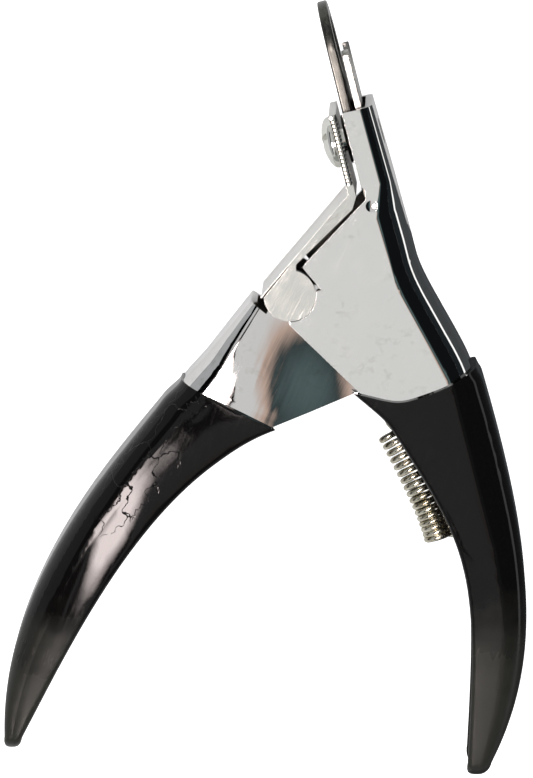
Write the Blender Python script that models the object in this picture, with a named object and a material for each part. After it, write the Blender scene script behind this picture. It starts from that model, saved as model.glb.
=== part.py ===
"""Guillotine nail clipper, lying on its side.

Plan coordinates are millimetres: x and y lie in the plane of the handles, z is the width of the tool.
The plan's origin is the lever's pivot axis. The head leans back by HEAD_LEAN; its own axes are
b, straight back through the plates, and a, upwards along the blade's travel.
Every mesh is written in plan coordinates and scaled to metres once, by MM.
"""

import math

import bmesh
import bpy
import numpy as np
from mathutils import Matrix, Vector

MM = 0.001
OBJECT_NAME = "guillotine_nail_clipper"

# Sheet metal, width and clearances
SHEET = 1.2
BODY_HALF = 9.0
RUN_GAP = 0.3
SLIDE_GAP = 0.15
SEAT_GAP = 0.2

# Head: stack of plates, front to back, and heights along the head
HEAD_LEAN = math.radians(14.0)
COVER_FRONT = 12.75
BOSS_HEIGHT = 1.05
RING_THICKNESS = 2.0
BLADE_THICKNESS = 1.1
WEB_OUTER_TOP = 20.0
WEB_OUTER_LOW = 20.8
WEB_LOW = 5.0
HOUSING_TOP = 27.3
HOUSING_FOOT = 14.6
COVER_TOP = 27.4
RING_FOOT = 12.8
RING_TOP = 44.8
NAIL_HOLE_RADIUS = 5.0
SCREW_HEIGHT = 22.0
BLADE_HALF = 7.1
BLADE_HORN = 36.8
BLADE_EDGE_RADIUS = 5.3

# Clamp screw
SCREW_RADIUS = 1.9
SCREW_HEAD_RADIUS = 4.25
SCREW_HEAD_HEIGHT = 2.2
SCREW_SLOT = 1.0
SCREW_SLOT_DEPTH = 1.1
COLLAR_WALL = 1.05
SCREW_CLEARANCE = 0.25

# Lever drive
LEVER_TRAVEL = math.radians(35.0)
FINGER_REACH = 17.5
FINGER_HALF = 1.3
NOTCH_CLEARANCE = 0.4
NOTCH_FOOT = 1.8

# Pivot and ears
PIN_RADIUS = 1.3
PIN_CLEARANCE = 0.2
BOSS_RADIUS = 2.5
EAR_RADIUS = 4.2
EAR_OFFSET = 0.6
EAR_SKIN = 0.5
ARM_ANGLE = math.radians(50.0)
ARM_OUTER = 4.0
ARM_FOOT = -3.3

# Lever channel
LEVER_ANGLE = math.radians(51.5)
LEVER_OUTER = 4.8
LEVER_WEB_TOP = -4.9

# Channel bends
OUTER_BEND = 4.2
INNER_BEND = 1.2
LEVER_END_BEND = 1.6

# Handles
COAT = 0.9
COAT_OFFSET = COAT + SEAT_GAP
HANDLE_HALF = 9.0
TIP_NARROWING = 2.0
WIDENING_START = 25.0
WIDENING_LENGTH = 14.0
NARROWING_START = 50.0
NARROWING_LENGTH = 38.0
METAL_END = 0.93

# Handle outlines, each the four poles of a cubic: the coated back and the coated inner edge
FIXED_BACK = ((30.2, -11.6), (38.9, -41.1), (41.6, -59.5), (32.6, -77.0))
FIXED_INNER = ((14.3, -18.6), (28.5, -41.1), (30.5, -42.5), (28.6, -77.0))
LEVER_BACK = ((-19.0, -13.8), (-20.5, -19.4), (-48.2, -42.9), (-47.2, -73.0))
LEVER_INNER = ((-2.5, -22.0), (-22.6, -29.1), (-34.5, -54.0), (-44.2, -73.0))
INNER_LEAD = 0.22
FIXED_TIP_RADIUS = 2.6
LEVER_TIP_RADIUS = 2.4

# Body plate: the flare between head and handle, and the plate's own corners
FLARE_START_HEIGHT = 0.9
FLARE_POLES = ((21.1, 1.7), (25.3, -4.1))
PLATE_CORNER = (1.53, 5.0)
SEAT_MOUTH = (4.6, 1.4)
PLATE_HEEL = (-0.4, -4.5)
PLATE_TOE = (11.4, -16.0)
RELIEF_CENTRE = (10.94, 17.2)
RELIEF_RADIUS = 0.83
DIP_LINE = ((9.0, -15.2), (13.0, -16.2), (17.4, -17.3), (24.7, -14.4), (32.0, -9.0))

# Cover plate
SERRATION_PITCH = 0.65
SERRATION_DEPTH = 0.4
SERRATION_FOOT = 15.6
ARM_FLANGE_TOP = (17.3, 2.06)
ARM_FLANGE_NECK = (4.56, 0.91)

# Wall dimples that carry the ring plate's foot
DIMPLE_RADIUS = 1.2
DIMPLE_DEPTH = 0.45

# Return spring and its pins
WIRE_RADIUS = 0.5
COIL_RADIUS = 2.3
COIL_PITCH = 1.22
COIL_LINE = ((12.9, -17.2), (17.2, -25.0), (22.6, -35.0), (24.1, -41.0))
HOOK_RADIUS = 1.7
SPRING_PIN_RADIUS = 1.0
UPPER_HOOK = (10.4, -12.0)
LOWER_HOOK = (31.5, -45.0)

RING_FRONT = COVER_FRONT + SHEET + BOSS_HEIGHT
RING_BACK = RING_FRONT + RING_THICKNESS
BLADE_FRONT = RING_BACK + SLIDE_GAP
BLADE_BACK = BLADE_FRONT + BLADE_THICKNESS
WALL_INNER = BODY_HALF - SHEET
RING_HALF = WALL_INNER - RUN_GAP
LEVER_HALF = WALL_INNER - RUN_GAP
HEAD_TILT_OF_FINGER = -LEVER_TRAVEL / 2
HANDLE_STATIONS = tuple(np.linspace(0.05, METAL_END, 11))
FINGER_HEIGHT = FINGER_REACH * math.sin(HEAD_TILT_OF_FINGER)
BLADE_TRAVEL = -2 * FINGER_HEIGHT


def unit(angle):
    """Unit vector at this angle in the plan."""
    return np.array((math.cos(angle), math.sin(angle)))


HEAD_BACK = unit(HEAD_LEAN)
HEAD_UP = unit(HEAD_LEAN + math.pi / 2)
ARM_UP = unit(ARM_ANGLE)
ARM_OUT = unit(ARM_ANGLE + math.pi / 2)
LEVER_UP = unit(LEVER_ANGLE)
LEVER_OUT = unit(LEVER_ANGLE + math.pi / 2)
EAR_CENTRE = EAR_OFFSET * ARM_OUT


def head(back, up):
    """Plan point from head coordinates."""
    return back * HEAD_BACK + up * HEAD_UP


def web_back(up):
    """Outer face of the body's web at this height; it leans out a little towards the handle."""
    return WEB_OUTER_LOW + (WEB_OUTER_TOP - WEB_OUTER_LOW) * (up - WEB_LOW) / (HOUSING_TOP - WEB_LOW)


def arm(up, out):
    """Plan point from distances along and out from the cover's arm."""
    return up * ARM_UP + out * ARM_OUT


def lever_web(up, out):
    """Plan point from distances along and out from the lever's web."""
    return up * LEVER_UP + out * LEVER_OUT


def cubic(poles, t):
    """Point of a cubic curve given by its four poles."""
    p = np.array(poles, float)
    s = 1.0 - t
    return s**3 * p[0] + 3 * s * s * t * p[1] + 3 * s * t * t * p[2] + t**3 * p[3]


def arc(centre, radius, start, end, steps):
    """Points on an arc, both ends included; angles in radians."""
    return [np.array(centre) + radius * unit(a) for a in np.linspace(start, end, steps + 1)]


def smooth(value):
    """Smooth step from 0 to 1."""
    value = min(max(value, 0.0), 1.0)
    return value * value * (3.0 - 2.0 * value)


# ---------------------------------------------------------------- scene and materials


def clear_scene():
    for obj in list(bpy.data.objects):
        bpy.data.objects.remove(obj, do_unlink=True)


def new_collection(name, hidden=False):
    collection = bpy.data.collections.new(name)
    collection.hide_render = hidden
    bpy.context.scene.collection.children.link(collection)
    return collection


def empty(name, collection, parent=None, location=(0, 0, 0), turn=0.0):
    obj = bpy.data.objects.new(name, None)
    obj.empty_display_size = 5 * MM
    obj.location = Vector(location) * MM
    obj.rotation_euler = (0, 0, turn)
    obj.parent = parent
    collection.objects.link(obj)
    return obj


def material(name, colour, roughness, metallic):
    mat = bpy.data.materials.new(name)
    mat.use_nodes = True
    shader = mat.node_tree.nodes["Principled BSDF"]
    shader.inputs["Base Color"].default_value = (*colour, 1.0)
    shader.inputs["Roughness"].default_value = roughness
    shader.inputs["Metallic"].default_value = metallic
    return mat


# ---------------------------------------------------------------- mesh helpers


def finish_mesh(name, bm, collection, matrix=None):
    """Cleans a bmesh, scales it to metres and makes it an object."""
    bmesh.ops.remove_doubles(bm, verts=bm.verts, dist=1e-4)
    bmesh.ops.recalc_face_normals(bm, faces=bm.faces)
    if matrix is not None:
        bmesh.ops.transform(bm, matrix=matrix, verts=bm.verts)
    bmesh.ops.scale(bm, vec=(MM, MM, MM), verts=bm.verts)
    mesh = bpy.data.meshes.new(name)
    bm.to_mesh(mesh)
    bm.free()
    obj = bpy.data.objects.new(name, mesh)
    collection.objects.link(obj)
    return obj


def mesh_of_curve(name, drawn, collection, matrix=None):
    """Replaces a drawn curve by the mesh it makes."""
    bpy.context.view_layer.update()
    graph = bpy.context.evaluated_depsgraph_get()
    mesh = bpy.data.meshes.new_from_object(drawn.evaluated_get(graph))
    bpy.data.objects.remove(drawn, do_unlink=True)
    bm = bmesh.new()
    bm.from_mesh(mesh)
    bpy.data.meshes.remove(mesh)
    return finish_mesh(name, bm, collection, matrix)


def outline_object(name, points, low, high, collection, matrix=None):
    """A flat outline extruded from low to high along its own normal."""
    curve = bpy.data.curves.new(name, "CURVE")
    curve.dimensions = "2D"
    curve.fill_mode = "BOTH"
    curve.extrude = (high - low) / 2
    spline = curve.splines.new("POLY")
    spline.points.add(len(points) - 1)
    for slot, point in zip(spline.points, points):
        slot.co = (point[0], point[1], 0.0, 1.0)
    spline.use_cyclic_u = True
    drawn = bpy.data.objects.new(f"{name}_outline", curve)
    collection.objects.link(drawn)
    lift = Matrix.Translation((0, 0, (low + high) / 2))
    return mesh_of_curve(name, drawn, collection, lift if matrix is None else matrix @ lift)


def head_plate_matrix():
    """Turns an outline drawn as (width, height) so that its normal runs back through the head."""
    columns = Matrix.Identity(4)
    columns.col[0][:3] = (0.0, 0.0, -1.0)
    columns.col[1][:3] = (*HEAD_UP, 0.0)
    columns.col[2][:3] = (*HEAD_BACK, 0.0)
    return columns


def cylinder(name, radius, low, high, collection, matrix, sides=32):
    """A cylinder along its local Z from low to high, placed by matrix in plan coordinates."""
    bm = bmesh.new()
    bmesh.ops.create_cone(bm, cap_ends=True, segments=sides, radius1=radius, radius2=radius, depth=high - low)
    bmesh.ops.translate(bm, vec=(0, 0, (low + high) / 2), verts=bm.verts)
    return finish_mesh(name, bm, collection, matrix)


def across(point):
    """Matrix that stands a cylinder across the tool at a plan point."""
    return Matrix.Translation((point[0], point[1], 0.0))


def through_head(width, height):
    """Matrix that points a cylinder back through the head at this width and height."""
    matrix = head_plate_matrix()
    matrix.translation = (*(height * HEAD_UP), -width)
    return matrix


def box(name, low, high, collection, matrix):
    bm = bmesh.new()
    bmesh.ops.create_cube(bm, size=1.0)
    size = np.subtract(high, low)
    bmesh.ops.scale(bm, vec=tuple(size), verts=bm.verts)
    bmesh.ops.translate(bm, vec=tuple(np.add(low, high) / 2), verts=bm.verts)
    return finish_mesh(name, bm, collection, matrix)


def place_piece(obj, parent, mat):
    """Hangs a piece on its body's empty and gives it its material."""
    obj.parent = parent
    obj.data.materials.append(mat)
    return obj


def boolean(obj, other, operation, solver="EXACT"):
    """Adds a Boolean step; the cutter moves with the piece."""
    step = obj.modifiers.new(f"{operation.lower()}_{other.name}", "BOOLEAN")
    step.operation = operation
    step.object = other
    step.solver = solver
    other.parent = obj.parent
    other.hide_render = True
    other.display_type = "WIRE"


def shade(obj, angle=35.0):
    obj.data.shade_smooth()
    obj.data.set_sharp_from_angle(angle=math.radians(angle))


# ---------------------------------------------------------------- channel sections and lofts


def corner(centre_x, centre_z, radius, start, steps=4):
    """Quarter bend of a section, as (depth, width) points."""
    angles = np.radians(np.linspace(start, start + 90.0, steps + 1))
    return [(centre_x + radius * math.cos(a), centre_z + radius * math.sin(a)) for a in angles]


def channel_section(depth, half, sheet, bend, inner_bend):
    """Closed section of a bent channel: depth runs from the back of the web to the walls' edges."""
    inner = half - sheet
    outside = corner(bend, half - bend, bend, 90.0) + corner(bend, bend - half, bend, 180.0)
    inside = corner(sheet + inner_bend, inner - inner_bend, inner_bend, 90.0)
    inside += corner(sheet + inner_bend, inner_bend - inner, inner_bend, 180.0)
    loop = [(depth, half)] + outside + [(depth, -half), (depth, -inner)]
    return loop + inside[::-1] + [(depth, inner)]


def sleeve_section(depth, half, skin, bend, lip, cavity_back):
    """Closed section of the dipped coat: a skin round the outside of a channel, hooked over its edges."""
    inner = half - skin
    round_in = max(bend - skin, 0.3)
    outside = corner(bend, half - bend, bend, 90.0) + corner(bend, bend - half, bend, 180.0)
    inside = corner(cavity_back + round_in, inner - round_in, round_in, 90.0)
    inside += corner(cavity_back + round_in, round_in - inner, round_in, 180.0)
    front = depth - skin
    loop = [(depth, half)] + outside + [(depth, -half), (depth, -lip), (front, -lip), (front, -inner)]
    return loop + inside[::-1] + [(front, inner), (front, lip), (depth, lip)]


def loft(name, rings, collection):
    """Joins equal closed rings of plan points into a solid with flat ends."""
    bm = bmesh.new()
    rows = [[bm.verts.new(point) for point in ring] for ring in rings]
    count = len(rows[0])
    for first, second in zip(rows, rows[1:]):
        for i in range(count):
            j = (i + 1) % count
            bm.faces.new((first[i], first[j], second[j], second[i]))
    bm.faces.new(rows[0][::-1])
    bm.faces.new(rows[-1])
    return finish_mesh(name, bm, collection)


def section_ring(back, front, section):
    """Places a section between a back point and a front point of the plan."""
    step = np.subtract(front, back)
    step = step / np.linalg.norm(step)
    return [(*(np.array(back) + x * step), z) for x, z in section]


def rung(back_poles, inner_poles, t):
    """Coated back and inner edge points of a handle at station t."""
    lead = t + INNER_LEAD * t * (1.0 - t)
    return cubic(back_poles, t), cubic(inner_poles, lead)


def coated(back, front):
    """Outer back and front points of the coat over a metal station."""
    step = np.subtract(front, back) / np.linalg.norm(np.subtract(front, back))
    return back - COAT_OFFSET * step, front + COAT_OFFSET * step


def handle_half(point, root_half):
    """Half width of a handle's metal at a plan point, from its root to its narrowed tip."""
    reach = float(np.linalg.norm(point))
    wide = root_half + (HANDLE_HALF - root_half) * smooth((reach - WIDENING_START) / WIDENING_LENGTH)
    return wide - TIP_NARROWING * smooth((reach - NARROWING_START) / NARROWING_LENGTH)


def metal_rings(stations, root_half, bend, inner_bend):
    """Channel rings for stations given as (back, front) metal points."""
    rings = []
    for back, front in stations:
        depth = float(np.linalg.norm(np.subtract(front, back)))
        half = handle_half(np.add(back, front) / 2, root_half)
        outer = min(bend, 0.45 * depth)
        inner = min(inner_bend, outer)
        rings.append(section_ring(back, front, channel_section(depth, half, SHEET, outer, inner)))
    return rings


def handle_metal(back_poles, inner_poles):
    """Metal stations of a handle: the coated outline moved in by the coat."""
    stations = []
    for t in HANDLE_STATIONS:
        back, front = rung(back_poles, inner_poles, t)
        step = (front - back) / np.linalg.norm(front - back)
        stations.append((back + COAT_OFFSET * step, front - COAT_OFFSET * step))
    return stations


def grip_rings(back_poles, inner_poles, root_half, tip_radius, top):
    """Rings of a dipped grip from its open top to its rounded, closed tip."""
    rings = []
    lip = WALL_INNER - RUN_GAP / 2
    for back, front in top:
        half = handle_half(np.add(back, front) / 2, root_half) + COAT_OFFSET
        depth = float(np.linalg.norm(np.subtract(front, back)))
        bend = min(OUTER_BEND + COAT_OFFSET, 0.45 * depth)
        narrow = lip + half - COAT_OFFSET - BODY_HALF
        rings.append(section_ring(back, front, sleeve_section(depth, half, COAT, bend, narrow, COAT)))
    for t in (*HANDLE_STATIONS, METAL_END + 0.03):
        back, front = rung(back_poles, inner_poles, t)
        half = handle_half((back + front) / 2, root_half) + COAT_OFFSET
        depth = float(np.linalg.norm(front - back))
        bend = min(OUTER_BEND + COAT_OFFSET, 0.45 * depth)
        narrow = lip + half - COAT_OFFSET - BODY_HALF
        rings.append(section_ring(back, front, sleeve_section(depth, half, COAT, bend, narrow, COAT)))
    back, front = rung(back_poles, inner_poles, 1.0)
    middle = (back + front) / 2
    before = rung(back_poles, inner_poles, 0.96)
    heading = middle - (before[0] + before[1]) / 2
    heading = heading / np.linalg.norm(heading)
    half = handle_half(middle, root_half) + COAT_OFFSET
    full = float(np.linalg.norm(front - back))
    for angle in (0.0, 35.0, 62.0, 82.0):
        share = math.cos(math.radians(angle))
        ahead = heading * tip_radius * math.sin(math.radians(angle))
        spread = (front - back) / 2 * (0.35 + 0.65 * share)
        depth = full * (0.35 + 0.65 * share)
        width = half - (1.0 - share) * 2.6
        bend = 0.45 * depth
        section = sleeve_section(depth, width, 0.5, bend, 0.4, depth - 0.5 - 2 * max(bend - 0.5, 0.3))
        rings.append(section_ring(middle + ahead - spread, middle + ahead + spread, section))
    return rings


# ---------------------------------------------------------------- frame


def flare_points():
    """Back of the web between the head and the handle."""
    start = head(WEB_OUTER_LOW, FLARE_START_HEIGHT)
    back, front = rung(FIXED_BACK, FIXED_INNER, 0.0)
    end = back + COAT_OFFSET * (front - back) / np.linalg.norm(front - back)
    return (start, *FLARE_POLES, end)


def frame_stations():
    """Back and front points of the frame's channel, from the top of the head to the handle's end."""
    flare = flare_points()
    front_top = head(RING_FRONT, HOUSING_TOP)
    front_foot = head(RING_FRONT, HOUSING_FOOT)
    shoulder = head(web_back(HOUSING_FOOT - 2.1), HOUSING_FOOT - 2.1)
    stations = [(head(WEB_OUTER_TOP, HOUSING_TOP), front_top), (head(web_back(HOUSING_FOOT), HOUSING_FOOT), front_foot)]
    stations.append((shoulder, np.array((9.6, 15.6))))
    stations.append((head(WEB_OUTER_LOW, WEB_LOW), np.array((4.2, 9.4))))
    stations.append((cubic(flare, 0.0), np.array((1.2, 5.4))))
    stations.append((cubic(flare, 0.3), np.array((-0.5, 0.4))))
    stations.append((cubic(flare, 0.55), np.array(PLATE_HEEL)))
    stations.append((cubic(flare, 0.8), np.array(PLATE_HEEL) * 0.5 + np.array(PLATE_TOE) * 0.5))
    stations.append((cubic(flare, 1.0), np.array(PLATE_TOE)))
    return stations + handle_metal(FIXED_BACK, FIXED_INNER)


def relief_outline():
    """Opening in both walls: the slot beside the cover's arm and the round seat of its ear."""
    left = np.array(RELIEF_CENTRE) - (RELIEF_RADIUS, 0.0)
    points = [left + (-3.0, -1.0), left]
    points += arc(RELIEF_CENTRE, RELIEF_RADIUS, math.pi, 0.0, 6)[1:]
    points += [np.array(RELIEF_CENTRE) + (RELIEF_RADIUS, -1.1), np.array(PLATE_CORNER)]
    points.append(np.array(SEAT_MOUTH))
    seat = EAR_RADIUS + RUN_GAP
    points += arc(EAR_CENTRE, seat, math.radians(8.0), math.radians(-92.0), 10)
    points += [EAR_CENTRE + (-8.0, -seat), EAR_CENTRE + (-8.0, 12.0)]
    return points


def make_frame(parts, cutters, root, metal):
    rings = metal_rings(frame_stations(), BODY_HALF, OUTER_BEND, INNER_BEND)
    frame = place_piece(loft("frame_channel", rings, parts), root, metal)
    relief = outline_object("relief_cutter", relief_outline(), -BODY_HALF - 2, BODY_HALF + 2, cutters)
    boolean(frame, relief, "DIFFERENCE")
    bore = SCREW_RADIUS + SCREW_CLEARANCE
    place = through_head(0.0, SCREW_HEIGHT)
    web_middle = web_back(SCREW_HEIGHT) - SHEET / 2
    collar = cylinder("collar_core", bore + COLLAR_WALL, RING_BACK + RUN_GAP, web_middle, cutters, place)
    boolean(frame, collar, "UNION")
    drill = cylinder("collar_drill", bore, RING_BACK - 1, WEB_OUTER_LOW + 2, cutters, place)
    boolean(frame, drill, "DIFFERENCE")
    spot = head((RING_FRONT + RING_BACK) / 2, RING_FOOT - RUN_GAP - DIMPLE_RADIUS)
    for side in (-1, 1):
        pad_low, pad_high = sorted((side * (WALL_INNER - DIMPLE_DEPTH), side * (WALL_INNER + SHEET / 2)))
        pad = cylinder(f"dimple_pad_{side + 1}", DIMPLE_RADIUS, pad_low, pad_high, cutters, across(spot), 16)
        boolean(frame, pad, "UNION")
        dent_low, dent_high = sorted((side * (BODY_HALF - DIMPLE_DEPTH), side * (BODY_HALF + 1)))
        dent = cylinder(f"dimple_dent_{side + 1}", DIMPLE_RADIUS, dent_low, dent_high, cutters, across(spot), 16)
        boolean(frame, dent, "DIFFERENCE")
    hole = SPRING_PIN_RADIUS + PIN_CLEARANCE
    drill = cylinder("anchor_drill", hole, -BODY_HALF - 1, BODY_HALF + 1, cutters, across(LOWER_HOOK), 16)
    boolean(frame, drill, "DIFFERENCE")
    shade(frame)
    return frame


def make_fixed_grip(parts, cutters, root, vinyl):
    top = [coated(*station) for station in frame_stations()[7:9]]
    rings = grip_rings(FIXED_BACK, FIXED_INNER, BODY_HALF, FIXED_TIP_RADIUS, top)
    grip = place_piece(loft("fixed_grip", rings, parts), root, vinyl)
    above = [*DIP_LINE, (40.0, 10.0), (-20.0, 10.0), (-20.0, -12.0)]
    trim = outline_object("dip_cutter", above, -BODY_HALF - 4, BODY_HALF + 4, cutters)
    boolean(grip, trim, "DIFFERENCE")
    shade(grip)
    return grip


# ---------------------------------------------------------------- lever


def lever_stations():
    """Back and front points of the lever's channel; the walls are trimmed to the nose afterwards."""
    stations = [(lever_web(2.0, LEVER_OUTER), np.array((21.0, 7.0)))]
    stations.append((lever_web(-6.0, LEVER_OUTER), np.array((21.0, -7.0))))
    stations.append((lever_web(-12.5, LEVER_OUTER), np.array((10.9, -15.4))))
    stations.append((lever_web(-17.0, LEVER_OUTER), np.array((2.8, -18.9))))
    back, front = rung(LEVER_BACK, LEVER_INNER, 0.0)
    step = (front - back) / np.linalg.norm(front - back)
    stations.append((back + COAT_OFFSET * step, front - COAT_OFFSET * step))
    return stations + handle_metal(LEVER_BACK, LEVER_INNER)


def lever_outline():
    """What is kept of the lever's walls: boss, finger, nose, and everything towards the handle."""
    finger_angle = HEAD_LEAN + HEAD_TILT_OF_FINGER
    along = unit(finger_angle)
    aside = unit(finger_angle + math.pi / 2)
    nose = FINGER_REACH - FINGER_HALF
    points = [lever_web(LEVER_WEB_TOP, LEVER_OUTER + 3), lever_web(LEVER_WEB_TOP, LEVER_OUTER - 3.2)]
    points += arc((0, 0), BOSS_RADIUS, math.radians(145.0), math.radians(80.0), 5)
    points.append(14.0 * along + FINGER_HALF * aside)
    tip = FINGER_REACH * along
    points += arc(tip, FINGER_HALF, finger_angle + math.pi / 2, finger_angle - math.pi / 2, 8)
    root_turn = math.asin(FINGER_HALF / nose)
    points += arc((0, 0), nose, finger_angle - root_turn, finger_angle - math.radians(20.5), 4)
    points.append(np.array((10.6, -15.5)))
    points += [np.array((14.0, -30.0)), np.array((-20.0, -100.0)), np.array((-70.0, -90.0))]
    points.append(np.array((-60.0, 2.0)))
    return points


def make_lever(parts, cutters, pivot, metal):
    rings = []
    for index, (back, front) in enumerate(lever_stations()):
        bend = LEVER_END_BEND + (OUTER_BEND - LEVER_END_BEND) * smooth(index / 4)
        rings += metal_rings([(back, front)], LEVER_HALF, bend, INNER_BEND)
    lever = place_piece(loft("lever_channel", rings, parts), pivot, metal)
    keep = outline_object("lever_keep", lever_outline(), -BODY_HALF - 3, BODY_HALF + 3, cutters)
    boolean(lever, keep, "INTERSECT")
    drill = cylinder("pivot_drill", PIN_RADIUS + PIN_CLEARANCE, -10, 10, cutters, across((0, 0)), 24)
    boolean(lever, drill, "DIFFERENCE")
    hole = SPRING_PIN_RADIUS + PIN_CLEARANCE
    drill = cylinder("hook_drill", hole, -10, 10, cutters, across(UPPER_HOOK), 16)
    boolean(lever, drill, "DIFFERENCE")
    shade(lever)
    return lever


def make_lever_grip(parts, pivot, vinyl):
    back, front = rung(LEVER_BACK, LEVER_INNER, 0.0)
    rings = grip_rings(LEVER_BACK, LEVER_INNER, LEVER_HALF, LEVER_TIP_RADIUS, [(back, front)])
    grip = place_piece(loft("lever_grip", rings, parts), pivot, vinyl)
    shade(grip)
    return grip


# ---------------------------------------------------------------- head plates


def make_ring_plate(parts, cutters, root, metal):
    centre = RING_TOP - RING_HALF
    points = [(-RING_HALF, RING_FOOT), (RING_HALF, RING_FOOT)] + arc((0, centre), RING_HALF, 0, math.pi, 20)
    plate = outline_object("ring_plate", points, RING_FRONT, RING_BACK, parts, head_plate_matrix())
    place_piece(plate, root, metal)
    bore = SCREW_RADIUS + SCREW_CLEARANCE
    place = through_head(0.0, SCREW_HEIGHT)
    boss = cylinder("ring_boss", 4.0, RING_FRONT - BOSS_HEIGHT + RUN_GAP, RING_FRONT + 0.5, cutters, place)
    boolean(plate, boss, "UNION")
    drill = cylinder("ring_drill", bore, COVER_FRONT, WEB_OUTER_LOW, cutters, place, 24)
    boolean(plate, drill, "DIFFERENCE")
    place = through_head(0.0, centre)
    hole = cylinder("nail_hole", NAIL_HOLE_RADIUS, COVER_FRONT, WEB_OUTER_LOW, cutters, place, 40)
    boolean(plate, hole, "DIFFERENCE")
    shade(plate)
    return plate


def blade_outline():
    """Blade outline as (width, height): notched foot for the lever's fingers, hollow cutting edge."""
    notch_low = FINGER_HEIGHT - FINGER_HALF - NOTCH_CLEARANCE
    notch_high = FINGER_HEIGHT + FINGER_HALF + NOTCH_CLEARANCE
    neck = LEVER_HALF - SHEET - RUN_GAP
    side = [(BLADE_HALF, notch_low - NOTCH_FOOT), (BLADE_HALF, notch_low), (neck, notch_low)]
    side += [(neck, notch_high), (BLADE_HALF, notch_high), (BLADE_HALF, BLADE_HORN)]
    centre = RING_TOP - RING_HALF
    start = math.asin((BLADE_HORN - centre) / BLADE_EDGE_RADIUS)
    edge = arc((0, centre), BLADE_EDGE_RADIUS, start, -math.pi - start, 16)
    return side + edge + [(-x, y) for x, y in side[::-1]]


def make_blade(parts, cutters, slide, steel):
    blade = outline_object("blade", blade_outline(), BLADE_FRONT, BLADE_BACK, parts, head_plate_matrix())
    place_piece(blade, slide, steel)
    half = SCREW_RADIUS + SCREW_CLEARANCE + COLLAR_WALL + RUN_GAP
    low = SCREW_HEIGHT - BLADE_TRAVEL
    slot = arc((0, SCREW_HEIGHT), half, 0, math.pi, 10) + arc((0, low), half, math.pi, 2 * math.pi, 10)
    cutter = outline_object("blade_slot", slot, RING_FRONT, WEB_OUTER_LOW, cutters, head_plate_matrix())
    boolean(blade, cutter, "DIFFERENCE", "MANIFOLD")
    shade(blade)
    return blade


# ---------------------------------------------------------------- cover with its arm and ears


def cover_corner(back, out):
    """Where a head plane at this depth meets an arm plane at this distance."""
    rise = (out - back * float(HEAD_BACK @ ARM_OUT)) / float(HEAD_UP @ ARM_OUT)
    return head(back, rise), rise


def cover_outline():
    """Side outline of the cover: plate, bend, arm flange and ear."""
    back = COVER_FRONT + SHEET
    outer, _ = cover_corner(COVER_FRONT, ARM_OUTER)
    points = [head(COVER_FRONT, COVER_TOP), head(back, COVER_TOP)]
    top_up, top_depth = ARM_FLANGE_TOP
    neck_up, neck_depth = ARM_FLANGE_NECK
    points += [head(back, SERRATION_FOOT - 2.0), arm(top_up, ARM_OUTER - top_depth)]
    points.append(arm(neck_up, ARM_OUTER - neck_depth))
    foot = arm(ARM_FOOT, ARM_OUTER)
    foot_turn = math.asin((ARM_OUTER - EAR_OFFSET) / EAR_RADIUS)
    end = ARM_ANGLE - math.pi - foot_turn
    points += arc(EAR_CENTRE, EAR_RADIUS, math.radians(76.0), end + math.radians(8.0), 20)
    return points + [foot, outer]


def cover_void():
    """Everything behind the cover's sheet: what is left open between its two flanges."""
    back = COVER_FRONT + SHEET + 0.02
    inner, _ = cover_corner(back, ARM_OUTER - SHEET)
    foot = ARM_FOOT + 0.1
    points = [head(back, COVER_TOP + 3), inner, arm(foot, ARM_OUTER - SHEET), arm(foot, ARM_OUTER + 3)]
    return points + [arm(ARM_FOOT - 8, ARM_OUTER + 3), arm(ARM_FOOT - 8, -26), head(back + 12, COVER_TOP + 3)]


def serration_outline(side):
    """Comb of V cuts along one edge of the cover, as (width, height)."""
    count = int((COVER_TOP - 0.4 - SERRATION_FOOT) / SERRATION_PITCH)
    teeth = []
    for index in range(count):
        low = SERRATION_FOOT + index * SERRATION_PITCH
        teeth.append((side * (BODY_HALF + 0.02), low))
        teeth.append((side * (BODY_HALF - SERRATION_DEPTH), low + SERRATION_PITCH / 2))
    teeth.append((side * (BODY_HALF + 0.02), SERRATION_FOOT + count * SERRATION_PITCH))
    far = side * (BODY_HALF + 1.0)
    return teeth + [(far, SERRATION_FOOT + count * SERRATION_PITCH), (far, SERRATION_FOOT)]


def make_cover(parts, cutters, root, metal):
    cover = outline_object("cover_yoke", cover_outline(), -BODY_HALF, BODY_HALF, parts)
    place_piece(cover, root, metal)
    void = outline_object("cover_void", cover_void(), -WALL_INNER, WALL_INNER, cutters)
    boolean(cover, void, "DIFFERENCE")
    for side in (-1, 1):
        comb = outline_object(
            f"serration_{side + 1}", serration_outline(side), COVER_FRONT - 0.6, COVER_FRONT + SHEET + 0.6,
            cutters, head_plate_matrix(),
        )
        boolean(cover, comb, "DIFFERENCE")
        seat_low, seat_high = sorted((side * (WALL_INNER - 1), side * (BODY_HALF - EAR_SKIN)))
        seat = cylinder(
            f"pin_seat_{side + 1}", PIN_RADIUS + PIN_CLEARANCE, seat_low, seat_high, cutters, across((0, 0)), 24
        )
        boolean(cover, seat, "DIFFERENCE")
    bore = SCREW_RADIUS + SCREW_CLEARANCE
    drill = cylinder("cover_drill", bore, 5, COVER_FRONT + SHEET + 2, cutters, through_head(0, SCREW_HEIGHT), 24)
    boolean(cover, drill, "DIFFERENCE")
    shade(cover)
    return cover


# ---------------------------------------------------------------- screw and pins


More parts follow.
